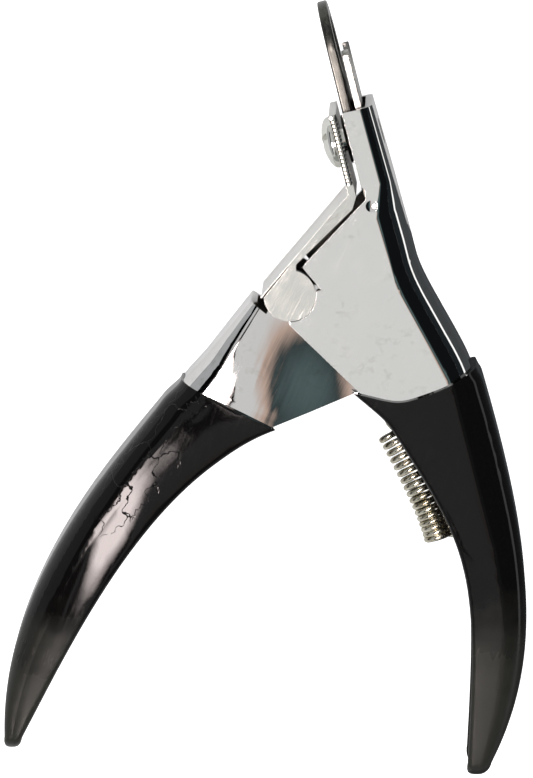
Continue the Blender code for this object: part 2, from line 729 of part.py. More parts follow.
def make_screw(parts, cutters, root, metal):
    """Turned screw: a domed head over a plain shank, its profile run from the head's crown to the tip."""
    seat = COVER_FRONT - SLIDE_GAP
    steps = 7
    dome = []
    for index in range(steps + 1):
        turn = math.pi / 2 * index / steps
        height = 0.5 + (SCREW_HEAD_HEIGHT - 0.5) * math.cos(turn)
        dome.append((SCREW_HEAD_RADIUS * math.sin(turn), height))
    length = web_back(SCREW_HEIGHT) - RUN_GAP - seat
    profile = dome + [(SCREW_HEAD_RADIUS, 0.0), (SCREW_RADIUS, 0.0), (SCREW_RADIUS, 0.4 - length)]
    profile += [(SCREW_RADIUS - 0.4, -length), (0.0, -length)]
    bm = bmesh.new()
    verts = [bm.verts.new((x, 0.0, z)) for x, z in profile]
    for first, second in zip(verts, verts[1:]):
        bm.edges.new((first, second))
    bmesh.ops.spin(
        bm, geom=bm.verts[:] + bm.edges[:], cent=(0, 0, 0), axis=(0, 0, 1), angle=2 * math.pi, steps=32,
        use_merge=True,
    )
    matrix = through_head(0.0, SCREW_HEIGHT) @ Matrix.Translation((0, 0, seat)) @ Matrix.Rotation(math.pi, 4, "X")
    screw = place_piece(finish_mesh("clamp_screw", bm, parts, matrix), root, metal)
    slot = box(
        "screw_slot", (-SCREW_SLOT / 2, -6, SCREW_HEAD_HEIGHT - SCREW_SLOT_DEPTH), (SCREW_SLOT / 2, 6, 6),
        cutters, matrix @ Matrix.Rotation(math.radians(65), 4, "Z"),
    )
    boolean(screw, slot, "DIFFERENCE")
    shade(screw)
    return screw


def make_pin(name, radius, half_length, point, parts, parent, metal):
    pin = cylinder(name, radius, -half_length, half_length, parts, across(point), 24)
    place_piece(pin, parent, metal)
    shade(pin)
    return pin


# ---------------------------------------------------------------- return spring


def coil_frame(t):
    """Centre of the coil's axis at t, with the unit vector along it and the one across it."""
    point = cubic(COIL_LINE, t)
    ahead = cubic(COIL_LINE, min(t + 0.01, 1.0)) - cubic(COIL_LINE, max(t - 0.01, 0.0))
    ahead = ahead / np.linalg.norm(ahead)
    return point, ahead, np.array((-ahead[1], ahead[0]))


def spring_path():
    """Wire centreline: hook, close coil along a bowed line, leg and hook."""
    length = sum(
        np.linalg.norm(cubic(COIL_LINE, (i + 1) / 50) - cubic(COIL_LINE, i / 50)) for i in range(50)
    )
    turns = round(length / COIL_PITCH)
    per_turn = 10
    points = []
    start, ahead, _ = coil_frame(0.0)
    entry = np.array(UPPER_HOOK)
    bearing = math.atan2(*(start - entry)[::-1])
    for angle in np.linspace(bearing + math.radians(300), bearing + math.radians(50), 12):
        points.append((*(entry + HOOK_RADIUS * unit(angle)), 0.0))
    points.append((*(start - 1.3 * ahead), 0.0))
    total = turns * per_turn
    for index in range(total + 1):
        centre, _, side = coil_frame(index / total)
        ramp = min(1.0, (index + 1.0) / 5.0, (total - index + 1.0) / 5.0)
        angle = 2 * math.pi * index / per_turn
        place = centre + COIL_RADIUS * ramp * math.cos(angle) * side
        points.append((*place, COIL_RADIUS * ramp * math.sin(angle)))
    end, ahead, _ = coil_frame(1.0)
    points.append((*(end + 1.2 * ahead), 0.0))
    exit_ = np.array(LOWER_HOOK)
    bearing = math.atan2(*(end - exit_)[::-1])
    for angle in np.linspace(bearing - math.radians(60), bearing - math.radians(300), 12):
        points.append((*(exit_ + HOOK_RADIUS * unit(angle)), 0.0))
    return points


def make_spring(parts, root, metal):
    points = spring_path()
    curve = bpy.data.curves.new("return_spring", "CURVE")
    curve.dimensions = "3D"
    curve.bevel_depth = WIRE_RADIUS
    curve.bevel_resolution = 2
    curve.use_fill_caps = True
    spline = curve.splines.new("POLY")
    spline.points.add(len(points) - 1)
    for slot, point in zip(spline.points, points):
        slot.co = (*point, 1.0)
    drawn = bpy.data.objects.new("return_spring_wire", curve)
    parts.objects.link(drawn)
    spring = place_piece(mesh_of_curve("return_spring", drawn, parts), root, metal)
    spring.data.shade_smooth()
    return spring


# ---------------------------------------------------------------- assembly


def stand_on_floor(root):
    """Moves the whole tool so that its box stands centred on the origin."""
    bpy.context.view_layer.update()
    graph = bpy.context.evaluated_depsgraph_get()
    corners = []
    for obj in bpy.data.objects:
        if obj.type in ("MESH", "CURVE") and not obj.hide_render:
            seen = obj.evaluated_get(graph)
            corners += [seen.matrix_world @ Vector(point) for point in seen.bound_box]
    low = np.min(corners, axis=0)
    high = np.max(corners, axis=0)
    root.location = (-(low[0] + high[0]) / 2, -(low[1] + high[1]) / 2, -low[2])


def main():
    clear_scene()
    parts = new_collection(OBJECT_NAME)
    cutters = new_collection("cutters", hidden=True)
    root = empty("clipper_origin", parts)
    lever_pivot = empty("lever_pivot", parts, root)
    blade_slide = empty("blade_slide", parts, root)

    chrome = material("chromed_sheet_steel", (0.80, 0.80, 0.79), 0.12, 1.0)
    plate_steel = material("polished_plate_steel", (0.55, 0.55, 0.54), 0.22, 1.0)
    blade_steel = material("ground_blade_steel", (0.62, 0.62, 0.61), 0.28, 1.0)
    spring_steel = material("nickel_plated_wire", (0.78, 0.75, 0.70), 0.25, 1.0)
    vinyl = material("black_dipped_vinyl", (0.012, 0.011, 0.012), 0.18, 0.0)

    make_frame(parts, cutters, root, chrome)
    make_fixed_grip(parts, cutters, root, vinyl)
    make_lever(parts, cutters, lever_pivot, chrome)
    make_lever_grip(parts, lever_pivot, vinyl)
    make_ring_plate(parts, cutters, root, plate_steel)
    make_blade(parts, cutters, blade_slide, blade_steel)
    make_cover(parts, cutters, root, chrome)
    make_screw(parts, cutters, root, chrome)
    seat_depth = BODY_HALF - EAR_SKIN - RUN_GAP
    make_pin("pivot_pin", PIN_RADIUS, seat_depth, (0, 0), parts, root, plate_steel)
    make_pin("spring_anchor_pin", SPRING_PIN_RADIUS, BODY_HALF - RUN_GAP, LOWER_HOOK, parts, root, plate_steel)
    make_pin("spring_hook_pin", SPRING_PIN_RADIUS, LEVER_HALF - SLIDE_GAP, UPPER_HOOK, parts, lever_pivot, plate_steel)
    make_spring(parts, root, spring_steel)
    stand_on_floor(root)


main()
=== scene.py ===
"""Guillotine nail clipper: the finished pieces, their materials and a plain studio.

Plan coordinates are millimetres: x and y lie in the plane of the handles, z is the width of the tool, and the
plan's origin is the middle of the pivot pin. The head leans back; its own axes are b, straight back through
the plates, and a, upwards along the blade's travel. Meshes are worked out in plan coordinates as whole
arrays and moved to their place in metres once, when they are written.
"""

from __future__ import annotations

import logging
import math
from collections.abc import Callable, Sequence
from dataclasses import dataclass
from enum import Enum

import bmesh
import bpy
import numpy as np
from mathutils import Matrix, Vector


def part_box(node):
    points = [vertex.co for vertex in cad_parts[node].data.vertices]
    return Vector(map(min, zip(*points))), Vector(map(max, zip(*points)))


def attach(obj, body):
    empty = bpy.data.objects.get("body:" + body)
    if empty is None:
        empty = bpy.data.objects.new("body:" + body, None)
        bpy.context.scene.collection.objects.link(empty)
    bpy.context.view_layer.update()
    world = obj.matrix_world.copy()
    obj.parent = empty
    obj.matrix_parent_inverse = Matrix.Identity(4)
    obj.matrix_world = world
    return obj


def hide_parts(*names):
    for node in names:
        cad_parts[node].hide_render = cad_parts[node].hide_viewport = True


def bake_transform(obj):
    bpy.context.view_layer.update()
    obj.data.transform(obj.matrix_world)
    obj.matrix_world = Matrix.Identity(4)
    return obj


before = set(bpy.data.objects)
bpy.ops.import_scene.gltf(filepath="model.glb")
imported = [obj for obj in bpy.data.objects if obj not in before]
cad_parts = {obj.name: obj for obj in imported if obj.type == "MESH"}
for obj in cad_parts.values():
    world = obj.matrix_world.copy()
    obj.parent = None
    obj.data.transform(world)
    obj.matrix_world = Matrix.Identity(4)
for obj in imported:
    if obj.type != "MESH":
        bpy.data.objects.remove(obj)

Array = np.ndarray
Tree = bpy.types.NodeTree
Node = bpy.types.Node
MM = 0.001
LOG = logging.getLogger("nail_clipper")


# ---------------------------------------------------------------- plan geometry


def unit(angle: Array | float) -> Array:
    """Unit vector (cosine, sine) of an angle in radians, or one row per angle."""
    return np.stack([np.cos(angle), np.sin(angle)], axis=-1)


def smooth(value: Array | float) -> Array:
    """Smooth step from 0 to 1: three times the square less twice the cube."""
    v = np.clip(value, 0.0, 1.0)
    return v * v * (3.0 - 2.0 * v)


def cubic(poles: Sequence[Sequence[float]], t: Array | float) -> Array:
    """Points of a cubic Bezier curve: the four poles weighted by the Bernstein polynomials of t.

    Args:
        poles: The curve's four poles.
        t: Parameter, a number or an array.

    Returns:
        One plan point per value of t.
    """
    p = np.asarray(poles, float)
    u = np.asarray(t, float)[..., None]
    s = 1.0 - u
    return s**3 * p[0] + 3 * s * s * u * p[1] + 3 * s * u * u * p[2] + u**3 * p[3]


def arc(centre: Sequence[float], radius: float, start: float, end: float, steps: int) -> Array:
    """Points at a fixed distance from a centre, from one angle to another, both ends included.

    Args:
        centre: Plan point.
        radius: Distance from the centre.
        start: First angle in radians.
        end: Last angle in radians.
        steps: Number of steps between them.

    Returns:
        The points, one row each.
    """
    return np.asarray(centre, float) + radius * unit(np.linspace(start, end, steps + 1))


def along(points: Array) -> Array:
    """Distance of each point from the first, measured along the line through them."""
    return np.concatenate([[0.0], np.cumsum(np.linalg.norm(np.diff(points, axis=0), axis=1))])


def resample(points: Array, count: int) -> Array:
    """The same line with its points spread evenly along it.

    Args:
        points: Line of points.
        count: Number of points wanted.

    Returns:
        The evenly spread points, both ends kept.
    """
    reach = along(points)
    even = np.linspace(0.0, reach[-1], count)
    return np.stack([np.interp(even, reach, column) for column in points.T], axis=1)


def soften(points: Array, spread: float) -> Array:
    """Rounds the kinks of an evenly spread line: each point becomes the bell-weighted mean of its neighbours.

    Args:
        points: Evenly spread line.
        spread: Width of the bell in steps.

    Returns:
        The softened line, with its two ends where they were.
    """
    reach = int(3 * spread)
    bell = np.exp(-0.5 * (np.arange(-reach, reach + 1) / spread) ** 2)
    first = 2 * points[0] - points[reach:0:-1]
    last = 2 * points[-1] - points[-2 : -reach - 2 : -1]
    padded = np.concatenate([first, points, last])
    columns = [np.convolve(column, bell / bell.sum(), mode="valid") for column in padded.T]
    return np.stack(columns, axis=1)


def inset(outline: Array, distance: float) -> Array:
    """Closed outline moved inwards: each point goes along the mean of its two sides' inward normals.

    Args:
        outline: Closed outline, either way round.
        distance: How far inwards.

    Returns:
        The smaller outline, point for point.
    """
    ahead = np.roll(outline, -1, axis=0) - outline
    ahead = ahead / np.linalg.norm(ahead, axis=1, keepdims=True)
    behind = np.roll(ahead, 1, axis=0)
    x, y = outline.T
    turn = np.sign(np.sum(x * np.roll(y, -1) - y * np.roll(x, -1)))
    normal = turn * np.stack([-(ahead + behind)[:, 1], (ahead + behind)[:, 0]], axis=1)
    share = np.clip(1.0 + np.sum(ahead * behind, axis=1, keepdims=True), 0.35, 2.0)
    return outline + distance * normal / share


HEAD_LEAN = math.radians(14.0)
ARM_ANGLE = math.radians(50.0)
LEVER_ANGLE = math.radians(51.5)


def head(back: Array | float, up: Array | float) -> Array:
    """Plan point this far back through the head's plates and this far up along the blade's travel."""
    return np.multiply.outer(back, unit(HEAD_LEAN)) + np.multiply.outer(up, unit(HEAD_LEAN + math.pi / 2))


def arm(up: float, out: float) -> Array:
    """Plan point this far up along the cover's arm and this far out from it."""
    return up * unit(ARM_ANGLE) + out * unit(ARM_ANGLE + math.pi / 2)


def lever_web(up: float, out: float) -> Array:
    """Plan point this far up along the lever's web and this far out from it."""
    return up * unit(LEVER_ANGLE) + out * unit(LEVER_ANGLE + math.pi / 2)


def lying(points: Array, level: Array | float) -> Array:
    """Points of the plan put at this height across the tool."""
    return np.concatenate([points, np.broadcast_to(np.asarray(level, float), points.shape[:-1])[..., None]], axis=-1)


def standing(points: Array, back: Array | float) -> Array:
    """Points given as (width, height) in the plane of the head's plates, put this far back.

    Args:
        points: Rows of (width, height).
        back: How far back through the head.

    Returns:
        The plan points.
    """
    plan = head(np.broadcast_to(np.asarray(back, float), points.shape[:-1]).ravel()[0], 0.0)
    width, up = points[..., 0], points[..., 1]
    place = plan + up[..., None] * unit(HEAD_LEAN + math.pi / 2)
    return np.concatenate([place, -width[..., None]], axis=-1)


# ---------------------------------------------------------------- sizes shared by several pieces


@dataclass(frozen=True)
class Sheet:
    """Gauge, widths and running gaps of the pressed parts, in millimetres."""

    gauge: float = 1.2
    body_half: float = 9.0
    run_gap: float = 0.3
    seat_gap: float = 0.2
    coat: float = 0.9
    outer_bend: float = 4.2
    inner_bend: float = 1.2

    @property
    def wall_inner(self) -> float:
        """Inner face of the body's walls."""
        return self.body_half - self.gauge

    @property
    def lever_half(self) -> float:
        """Half width of the lever, which runs between the body's walls."""
        return self.wall_inner - self.run_gap

    @property
    def coat_offset(self) -> float:
        """From the metal to the outside of its dipped coat."""
        return self.coat + self.seat_gap


@dataclass(frozen=True)
class Stack:
    """Plates of the head, front to back, and heights along it, in millimetres."""

    cover_front: float = 12.75
    ring_front: float = 15.0
    ring_back: float = 17.0
    blade_front: float = 17.15
    blade_back: float = 18.25
    web_top: float = 20.0
    web_low: float = 20.8
    web_low_height: float = 5.0
    housing_top: float = 27.3
    housing_foot: float = 14.6
    cover_top: float = 27.4
    ring_foot: float = 12.8
    ring_top: float = 44.8
    nail_hole: float = 5.0
    screw_height: float = 22.0
    screw_radius: float = 1.9
    screw_clearance: float = 0.25
    ring_half: float = 7.5

    @property
    def bore(self) -> float:
        """Radius of every hole that the screw passes through."""
        return self.screw_radius + self.screw_clearance

    @property
    def nail_centre(self) -> float:
        """Height of the nail hole's middle."""
        return self.ring_top - self.ring_half

    def web_back(self, up: Array | float) -> Array | float:
        """Outer face of the web at this height: a straight line between its top and its foot."""
        return self.web_low + (self.web_top - self.web_low) * (up - self.web_low_height) / (
            self.housing_top - self.web_low_height
        )


SHEET = Sheet()
STACK = Stack()
PIN_HOLE = 1.5
EAR_RADIUS = 4.2
EAR_CENTRE = 0.6 * unit(ARM_ANGLE + math.pi / 2)
DIP_LINE = ((9.0, -15.2), (13.0, -16.2), (17.4, -17.3), (24.7, -14.7), (32.0, -10.4))


# ---------------------------------------------------------------- writing meshes


class Slot(Enum):
    """The record's material slots."""

    SHEET = "chromed_sheet"
    PLATE = "plate_steel"
    BLADE = "blade_steel"
    WIRE = "spring_wire"
    VINYL = "dipped_vinyl"


class Body(Enum):
    """The moving bodies of the tool."""

    FRAME = "frame"
    LEVER = "lever"
    BLADE = "blade"


PIN_LOW, PIN_HIGH = (np.asarray(corner, float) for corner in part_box("pivot_pin"))
ORIGIN = (PIN_LOW + PIN_HIGH) / 2


def object_of(name: str, points: Array, faces: list[tuple[int, ...]], marks: Array) -> bpy.types.Object:
    """Writes plan points and faces as an object at the origin, its place in its mesh, faces outwards.

    Args:
        name: Name of the object.
        points: Rows of plan points in millimetres.
        faces: Corner numbers of each face.
        marks: Material number of each face: 0 outside, 1 inside.

    Returns:
        The new object.
    """
    mesh = bpy.data.meshes.new(name)
    mesh.from_pydata((points * MM + ORIGIN).tolist(), [], faces)
    mesh.materials.append(None)
    mesh.materials.append(None)
    mesh.polygons.foreach_set("material_index", marks.astype(np.int32))
    bm = bmesh.new()
    bm.from_mesh(mesh)
    bmesh.ops.remove_doubles(bm, verts=bm.verts, dist=1e-7)
    bmesh.ops.recalc_face_normals(bm, faces=bm.faces)
    bm.to_mesh(mesh)
    bm.free()
    obj = bpy.data.objects.new(name, mesh)
    bpy.context.scene.collection.objects.link(obj)
    return obj


def tube_of_rows(name: str, rows: Array, inside: Array | None = None) -> bpy.types.Object:
    """Closed surface through equal closed rows: each cell of the grid is a quad, each end a flat face.

    Args:
        name: Name of the object.
        rows: Array of shape (rows, points in a row, 3).
        inside: For each point of a row, 1 where the strip after it is an inner face.

    Returns:
        The new object.
    """
    count, width = rows.shape[:2]
    index = np.arange(count * width).reshape(count, width)
    beside = np.roll(index, -1, axis=1)
    quads = np.stack([index[:-1], beside[:-1], beside[1:], index[1:]], axis=-1).reshape(-1, 4)
    faces: list[tuple[int, ...]] = quads.tolist()
    faces += [tuple(index[0][::-1].tolist()), tuple(index[-1].tolist())]
    marks = np.zeros(len(faces), int)
    if inside is not None:
        marks[: len(quads)] = np.tile(inside, count - 1)
    return object_of(name, rows.reshape(-1, 3), faces, marks)


def plate(
    name: str, outline: Array, low: float, high: float,
    place: Callable[[Array, float], Array] = lying, edge: float = 0.0,
) -> bpy.types.Object:
    """Flat plate whose rim is rounded: the outline is drawn in by a quarter circle at both faces.

    Args:
        name: Name of the object.
        outline: Closed outline in the plate's plane.
        low: Level of one face.
        high: Level of the other face.
        place: Turns outline points and a level into plan points.
        edge: Radius of the rounded rim.

    Returns:
        The new object.
    """
    if edge <= 0:
        return tube_of_rows(name, np.stack([place(outline, low), place(outline, high)]))
    turns = np.linspace(0.0, math.pi / 2, 4)
    drawn = np.concatenate([edge * (1 - np.sin(turns)), edge * (1 - np.sin(turns[::-1]))])
    levels = np.concatenate([low + edge * (1 - np.cos(turns)), high - edge * (1 - np.cos(turns[::-1]))])
    rows = [place(inset(outline, d), level) for d, level in zip(drawn, levels)]
    return tube_of_rows(name, np.stack(rows))


def turned(name: str, profile: Array, centre: Array, axis: Array, sides: int = 64) -> bpy.types.Object:
    """Solid of revolution: each profile point (radius, height) runs round the axis.

    Args:
        name: Name of the object.
        profile: Rows of (radius, height) from end to end.
        centre: Plan point the heights start from.
        axis: Unit vector along the axis.
        sides: Points round the circle.

    Returns:
        The new object.
    """
    side = np.cross(axis, (0.3, 0.2, 0.9))
    side = side / np.linalg.norm(side)
    other = np.cross(axis, side)
    turn = np.linspace(0, 2 * math.pi, sides, endpoint=False)
    ring = np.cos(turn)[:, None] * side + np.sin(turn)[:, None] * other
    rows = centre + profile[:, :1, None] * ring[None] + profile[:, 1:, None] * axis
    return tube_of_rows(name, rows)


def post(name: str, radius: float, low: float, high: float, point: Sequence[float]) -> bpy.types.Object:
    """Plain round bar across the tool, used to cut or add."""
    profile = np.array([(radius, low), (radius, high)])
    return turned(name, profile, np.array((point[0], point[1], 0.0)), np.array((0.0, 0.0, 1.0)), 48)


def head_post(name: str, radius: float, low: float, high: float, height: float, sides: int = 48) -> bpy.types.Object:
    """Plain round bar straight back through the head at this height, used to cut or add."""
    profile = np.array([(radius, low), (radius, high)])
    return turned(name, profile, lying(head(0.0, height), 0.0), np.append(unit(HEAD_LEAN), 0.0), sides)


def carve(obj: bpy.types.Object, other: bpy.types.Object, how: str = "DIFFERENCE", mark: int = 0) -> None:
    """Joins or cuts a piece with another solid for good, and removes that solid.

    Args:
        obj: Piece to change.
        other: Solid it is cut by or joined to.
        how: Boolean operation.
        mark: Material number the new faces get: 0 outside, 1 inside.
    """
    other.data.polygons.foreach_set("material_index", np.full(len(other.data.polygons), mark, np.int32))
    step = obj.modifiers.new("carve", "BOOLEAN")
    step.operation, step.object, step.solver = how, other, "EXACT"
    apply_steps(obj)
    bpy.data.objects.remove(other, do_unlink=True)


def apply_steps(obj: bpy.types.Object) -> None:
    """Replaces an object's mesh by the mesh its modifiers make.

    Args:
        obj: Object whose modifiers are applied and removed.
    """
    bpy.context.view_layer.update()
    seen = obj.evaluated_get(bpy.context.evaluated_depsgraph_get())
    mesh = bpy.data.meshes.new_from_object(seen)
    obj.modifiers.clear()
    obj.data = mesh


def ease_edges(obj: bpy.types.Object, width: float, segments: int = 2, angle: float = 35.0) -> None:
    """Rounds a piece's sharp edges and shades it smooth elsewhere.

    Args:
        obj: Piece to finish.
        width: Width of the rounding in millimetres.
        segments: Faces across the rounding.
        angle: Edges sharper than this many degrees are rounded.
    """
    bm = bmesh.new()
    bm.from_mesh(obj.data)
    bmesh.ops.remove_doubles(bm, verts=bm.verts, dist=2e-6)
    bmesh.ops.dissolve_limit(bm, angle_limit=math.radians(0.5), verts=bm.verts, edges=bm.edges)
    bm.to_mesh(obj.data)
    bm.free()
    if width > 0:
        step = obj.modifiers.new("eased_edges", "BEVEL")
        step.width, step.segments, step.limit_method = width * MM, segments, "ANGLE"
        step.angle_limit, step.harden_normals = math.radians(angle), False
        step.use_clamp_overlap = True
        apply_steps(obj)
    obj.data.shade_smooth()
    obj.data.set_sharp_from_angle(angle=math.radians(angle))
    step = obj.modifiers.new("flat_faces_first", "WEIGHTED_NORMAL")
    step.mode, step.weight, step.keep_sharp = "FACE_AREA", 100, True
    apply_steps(obj)


# ---------------------------------------------------------------- finishes


def linear(colour: str) -> tuple[float, ...]:
    """Linear colour of an sRGB hex value, by the standard's two-part curve.

    Args:
        colour: Number sign and six hex digits.

    Returns:
        Red, green, blue and 1, as the shader takes them.
    """
    parts = np.array([int(colour[i : i + 2], 16) for i in (1, 3, 5)]) / 255.0
    values = np.where(parts <= 0.04045, parts / 12.92, ((parts + 0.055) / 1.055) ** 2.4)
    return (*values.tolist(), 1.0)


def add(tree: Tree, kind: str, *values: object, **more: object) -> Node:
    """Adds a node with its settings, values and links.

    Args:
        tree: Node tree it goes into.
        kind: Blender's name of the node type, less its first word.
        *values: What its sockets get, in order: a value, or a node or an output to link.
        **more: The same for sockets by identifier, with _ for a space, and the node's own settings.

    Returns:
        The new node.
    """
    node = tree.nodes.new(f"ShaderNode{kind}")
    for key in [key for key in more if hasattr(node, key)]:
        setattr(node, key, more.pop(key))
    named = {socket.identifier.replace(" ", "_"): socket for socket in node.inputs}
    for socket, value in [*zip(node.inputs, values), *((named[key], value) for key, value in more.items())]:
        if isinstance(value, Node):
            value = next(output for output in value.outputs if output.enabled)
        if isinstance(value, bpy.types.NodeSocket):
            tree.links.new(value, socket)
        else:
            socket.default_value = value
    return node


def empty_material(name: str) -> tuple[bpy.types.Material, Tree]:
    """A new material and its node tree, with nothing in it yet.

    Args:
        name: Name of the material.

    Returns:
        The material and its tree.
    """
    made = bpy.data.materials.new(name)
    made.use_nodes = True
    made.node_tree.nodes.clear()
    return made, made.node_tree


def marks(
    tree: Tree, place: Node, size: float, detail: float = 2.0, stretch: tuple = (1.0, 1.0, 1.0), turn: float = 0.0
) -> Node:
    """Irregular marks from 0 to 1, drawn out along turned axes.

    Args:
        tree: Node tree they go into.
        place: Place in millimetres.
        size: Size of a mark in millimetres.
        detail: How many finer layers lie over it.
        stretch: How many times longer it is along each turned axis.
        turn: Turn of the axes in the plan, in radians.

    Returns:
        The node that gives the marks.
    """
    turned_place = add(tree, "Mapping", place, vector_type="TEXTURE", Rotation=(0, 0, turn), Scale=stretch)
    return add(tree, "TexNoise", turned_place, Scale=1.0 / size, Detail=detail)


def lift(tree: Tree, *heights: tuple[Node, float]) -> Node:
    """Stacks bumps on each other.

    Args:
        tree: Node tree they go into.
        *heights: A pattern from 0 to 1 and its height in millimetres, from the lowest up.

    Returns:
        The node that gives the bumped normal.
    """
    below: dict[str, Node] = {}
    for pattern, height in heights:
        below = {"Normal": add(tree, "Bump", Height=pattern, Distance=height * MM, Strength=1.0, **below)}
    return below["Normal"]


@dataclass(frozen=True)
class Finish:
    """Common part of every finish: a Principled shader on coordinates in millimetres."""

    name: str

    def build(self) -> bpy.types.Material:
        """The material, made once and found by its name after that.

        Returns:
            The material.
        """
        found = bpy.data.materials.get(self.name)
        if found is not None:
            return found
        made, tree = empty_material(self.name)
        place = add(tree, "TexCoord").outputs["Object"]
        spread = add(tree, "Mapping", place, Location=tuple(-ORIGIN / MM), Scale=(1 / MM,) * 3)
        add(tree, "OutputMaterial", Surface=add(tree, "BsdfPrincipled", **self.dress(tree, spread)))
        return made

    def dress(self, tree: Tree, place: Node) -> dict[str, object]:
        """What the shader's sockets get; each finish has its own way."""
        raise NotImplementedError


@dataclass(frozen=True)
class BrightChrome(Finish):
    """Chrome plate over pressed steel: a mirror with faint waves, fine scratches and small stains."""

    colour: str = "#e9e9e7"
    stain: str = "#bdbcb6"
    roughness: float = 0.03
    wave: float = 0.012

    def dress(self, tree: Tree, place: Node) -> dict[str, object]:
        """Waves 6 mm long bend the reflections; scratches run 6 mm by 0.16 mm; stains are 1.4 mm specks.

        Args:
            tree: The material's node tree.
            place: Place in millimetres.

        Returns:
            What the shader's sockets get.
        """
        specks = marks(tree, place, 1.4, 4.0)
        cloudy = add(tree, "MapRange", marks(tree, place, 9.0, 3.0), 0.45, 0.7, 0.0, 1.0)
        spotty = add(tree, "MapRange", specks, 0.52, 0.66, 0.0, 0.5)
        stained = add(tree, "Math", cloudy, spotty, operation="MULTIPLY")
        scratches = marks(tree, place, 0.16, 1.0, (40.0, 1.0, 1.0), math.radians(62))
        gloss = add(tree, "MapRange", scratches, 0.6, 0.8, self.roughness, self.roughness + 0.05)
        haze = add(tree, "MapRange", specks, 0.4, 0.75, 0.0, 0.03)
        waves = (marks(tree, place, 6.0, 1.0), self.wave)
        clean, dirty = linear(self.colour), linear(self.stain)
        return {
            "Base_Color": add(tree, "Mix", stained, data_type="RGBA", A_Color=clean, B_Color=dirty),
            "Metallic": 1.0,
            "Roughness": add(tree, "Math", gloss, haze, operation="ADD"),
            "Normal": lift(tree, waves, (scratches, 0.0006), *self.dents(tree, place)),
        }

    def dents(self, tree: Tree, place: Node) -> list[tuple[Node, float]]:
        """Larger shapes left by the press; plain sheet has none."""
        return []


@dataclass(frozen=True)
class PressedChrome(BrightChrome):
    """Chrome over a wall the press left crowned: one broad swell and fine ridges beside its bend."""

    centre: tuple[float, float] = (-9.5, -15.0)
    reach: float = 22.0
    swell: float = 1.5
    ridge: float = 0.012

    def dents(self, tree: Tree, place: Node) -> list[tuple[Node, float]]:
        """A swell that falls off smoothly from its centre, and ridges 1.5 mm apart along the bend.

        Args:
            tree: The material's node tree.
            place: Place in millimetres.

        Returns:
            Each pattern with its height in millimetres.
        """
        flat = add(tree, "VectorMath", place, (1.0, 1.0, 0.0), operation="MULTIPLY")
        far = add(tree, "VectorMath", flat, (*self.centre, 0.0), operation="DISTANCE")
        dome = add(tree, "MapRange", far, 0.0, self.reach, 1.0, 0.0, interpolation_type="SMOOTHSTEP")
        ridges = marks(tree, place, 1.5, 1.0, (9.0, 1.0, 1.0), math.radians(68))
        near = add(tree, "MapRange", far, 6.0, 11.0, 1.0, 0.25)
        return [(dome, self.swell), (add(tree, "Math", ridges, near, operation="MULTIPLY"), self.ridge)]


@dataclass(frozen=True)
class GroundSteel(Finish):
    """Hardened steel ground flat: fine streaks the way the wheel ran, with a darker film in places."""

    colour: str = "#c9c8c4"
    film: str = "#8e8c86"
    roughness: float = 0.24
    turn: float = HEAD_LEAN + math.pi / 2

    def dress(self, tree: Tree, place: Node) -> dict[str, object]:
        """Streaks are 9 mm long and 0.3 mm wide; the film comes and goes over 4 mm.

        Args:
            tree: The material's node tree.
            place: Place in millimetres.

        Returns:
            What the shader's sockets get.
        """
        streaks = marks(tree, place, 0.3, 2.0, (30.0, 1.0, 1.0), self.turn)
        cloud = marks(tree, place, 4.0, 4.0)
        ground = add(tree, "MapRange", streaks, 0.35, 0.7, 0.0, 0.5)
        oily = add(tree, "MapRange", cloud, 0.45, 0.7, 0.0, 0.6)
        share = add(tree, "Math", ground, oily, operation="ADD", use_clamp=True)
        bare, filmed = linear(self.colour), linear(self.film)
        return {
            "Base_Color": add(tree, "Mix", share, data_type="RGBA", A_Color=bare, B_Color=filmed),
            "Metallic": 1.0,
            "Anisotropic": 0.3,
            "Roughness": add(tree, "MapRange", streaks, 0.3, 0.75, self.roughness, self.roughness + 0.16),
            "Normal": lift(tree, (streaks, 0.002), (cloud, 0.004)),
        }


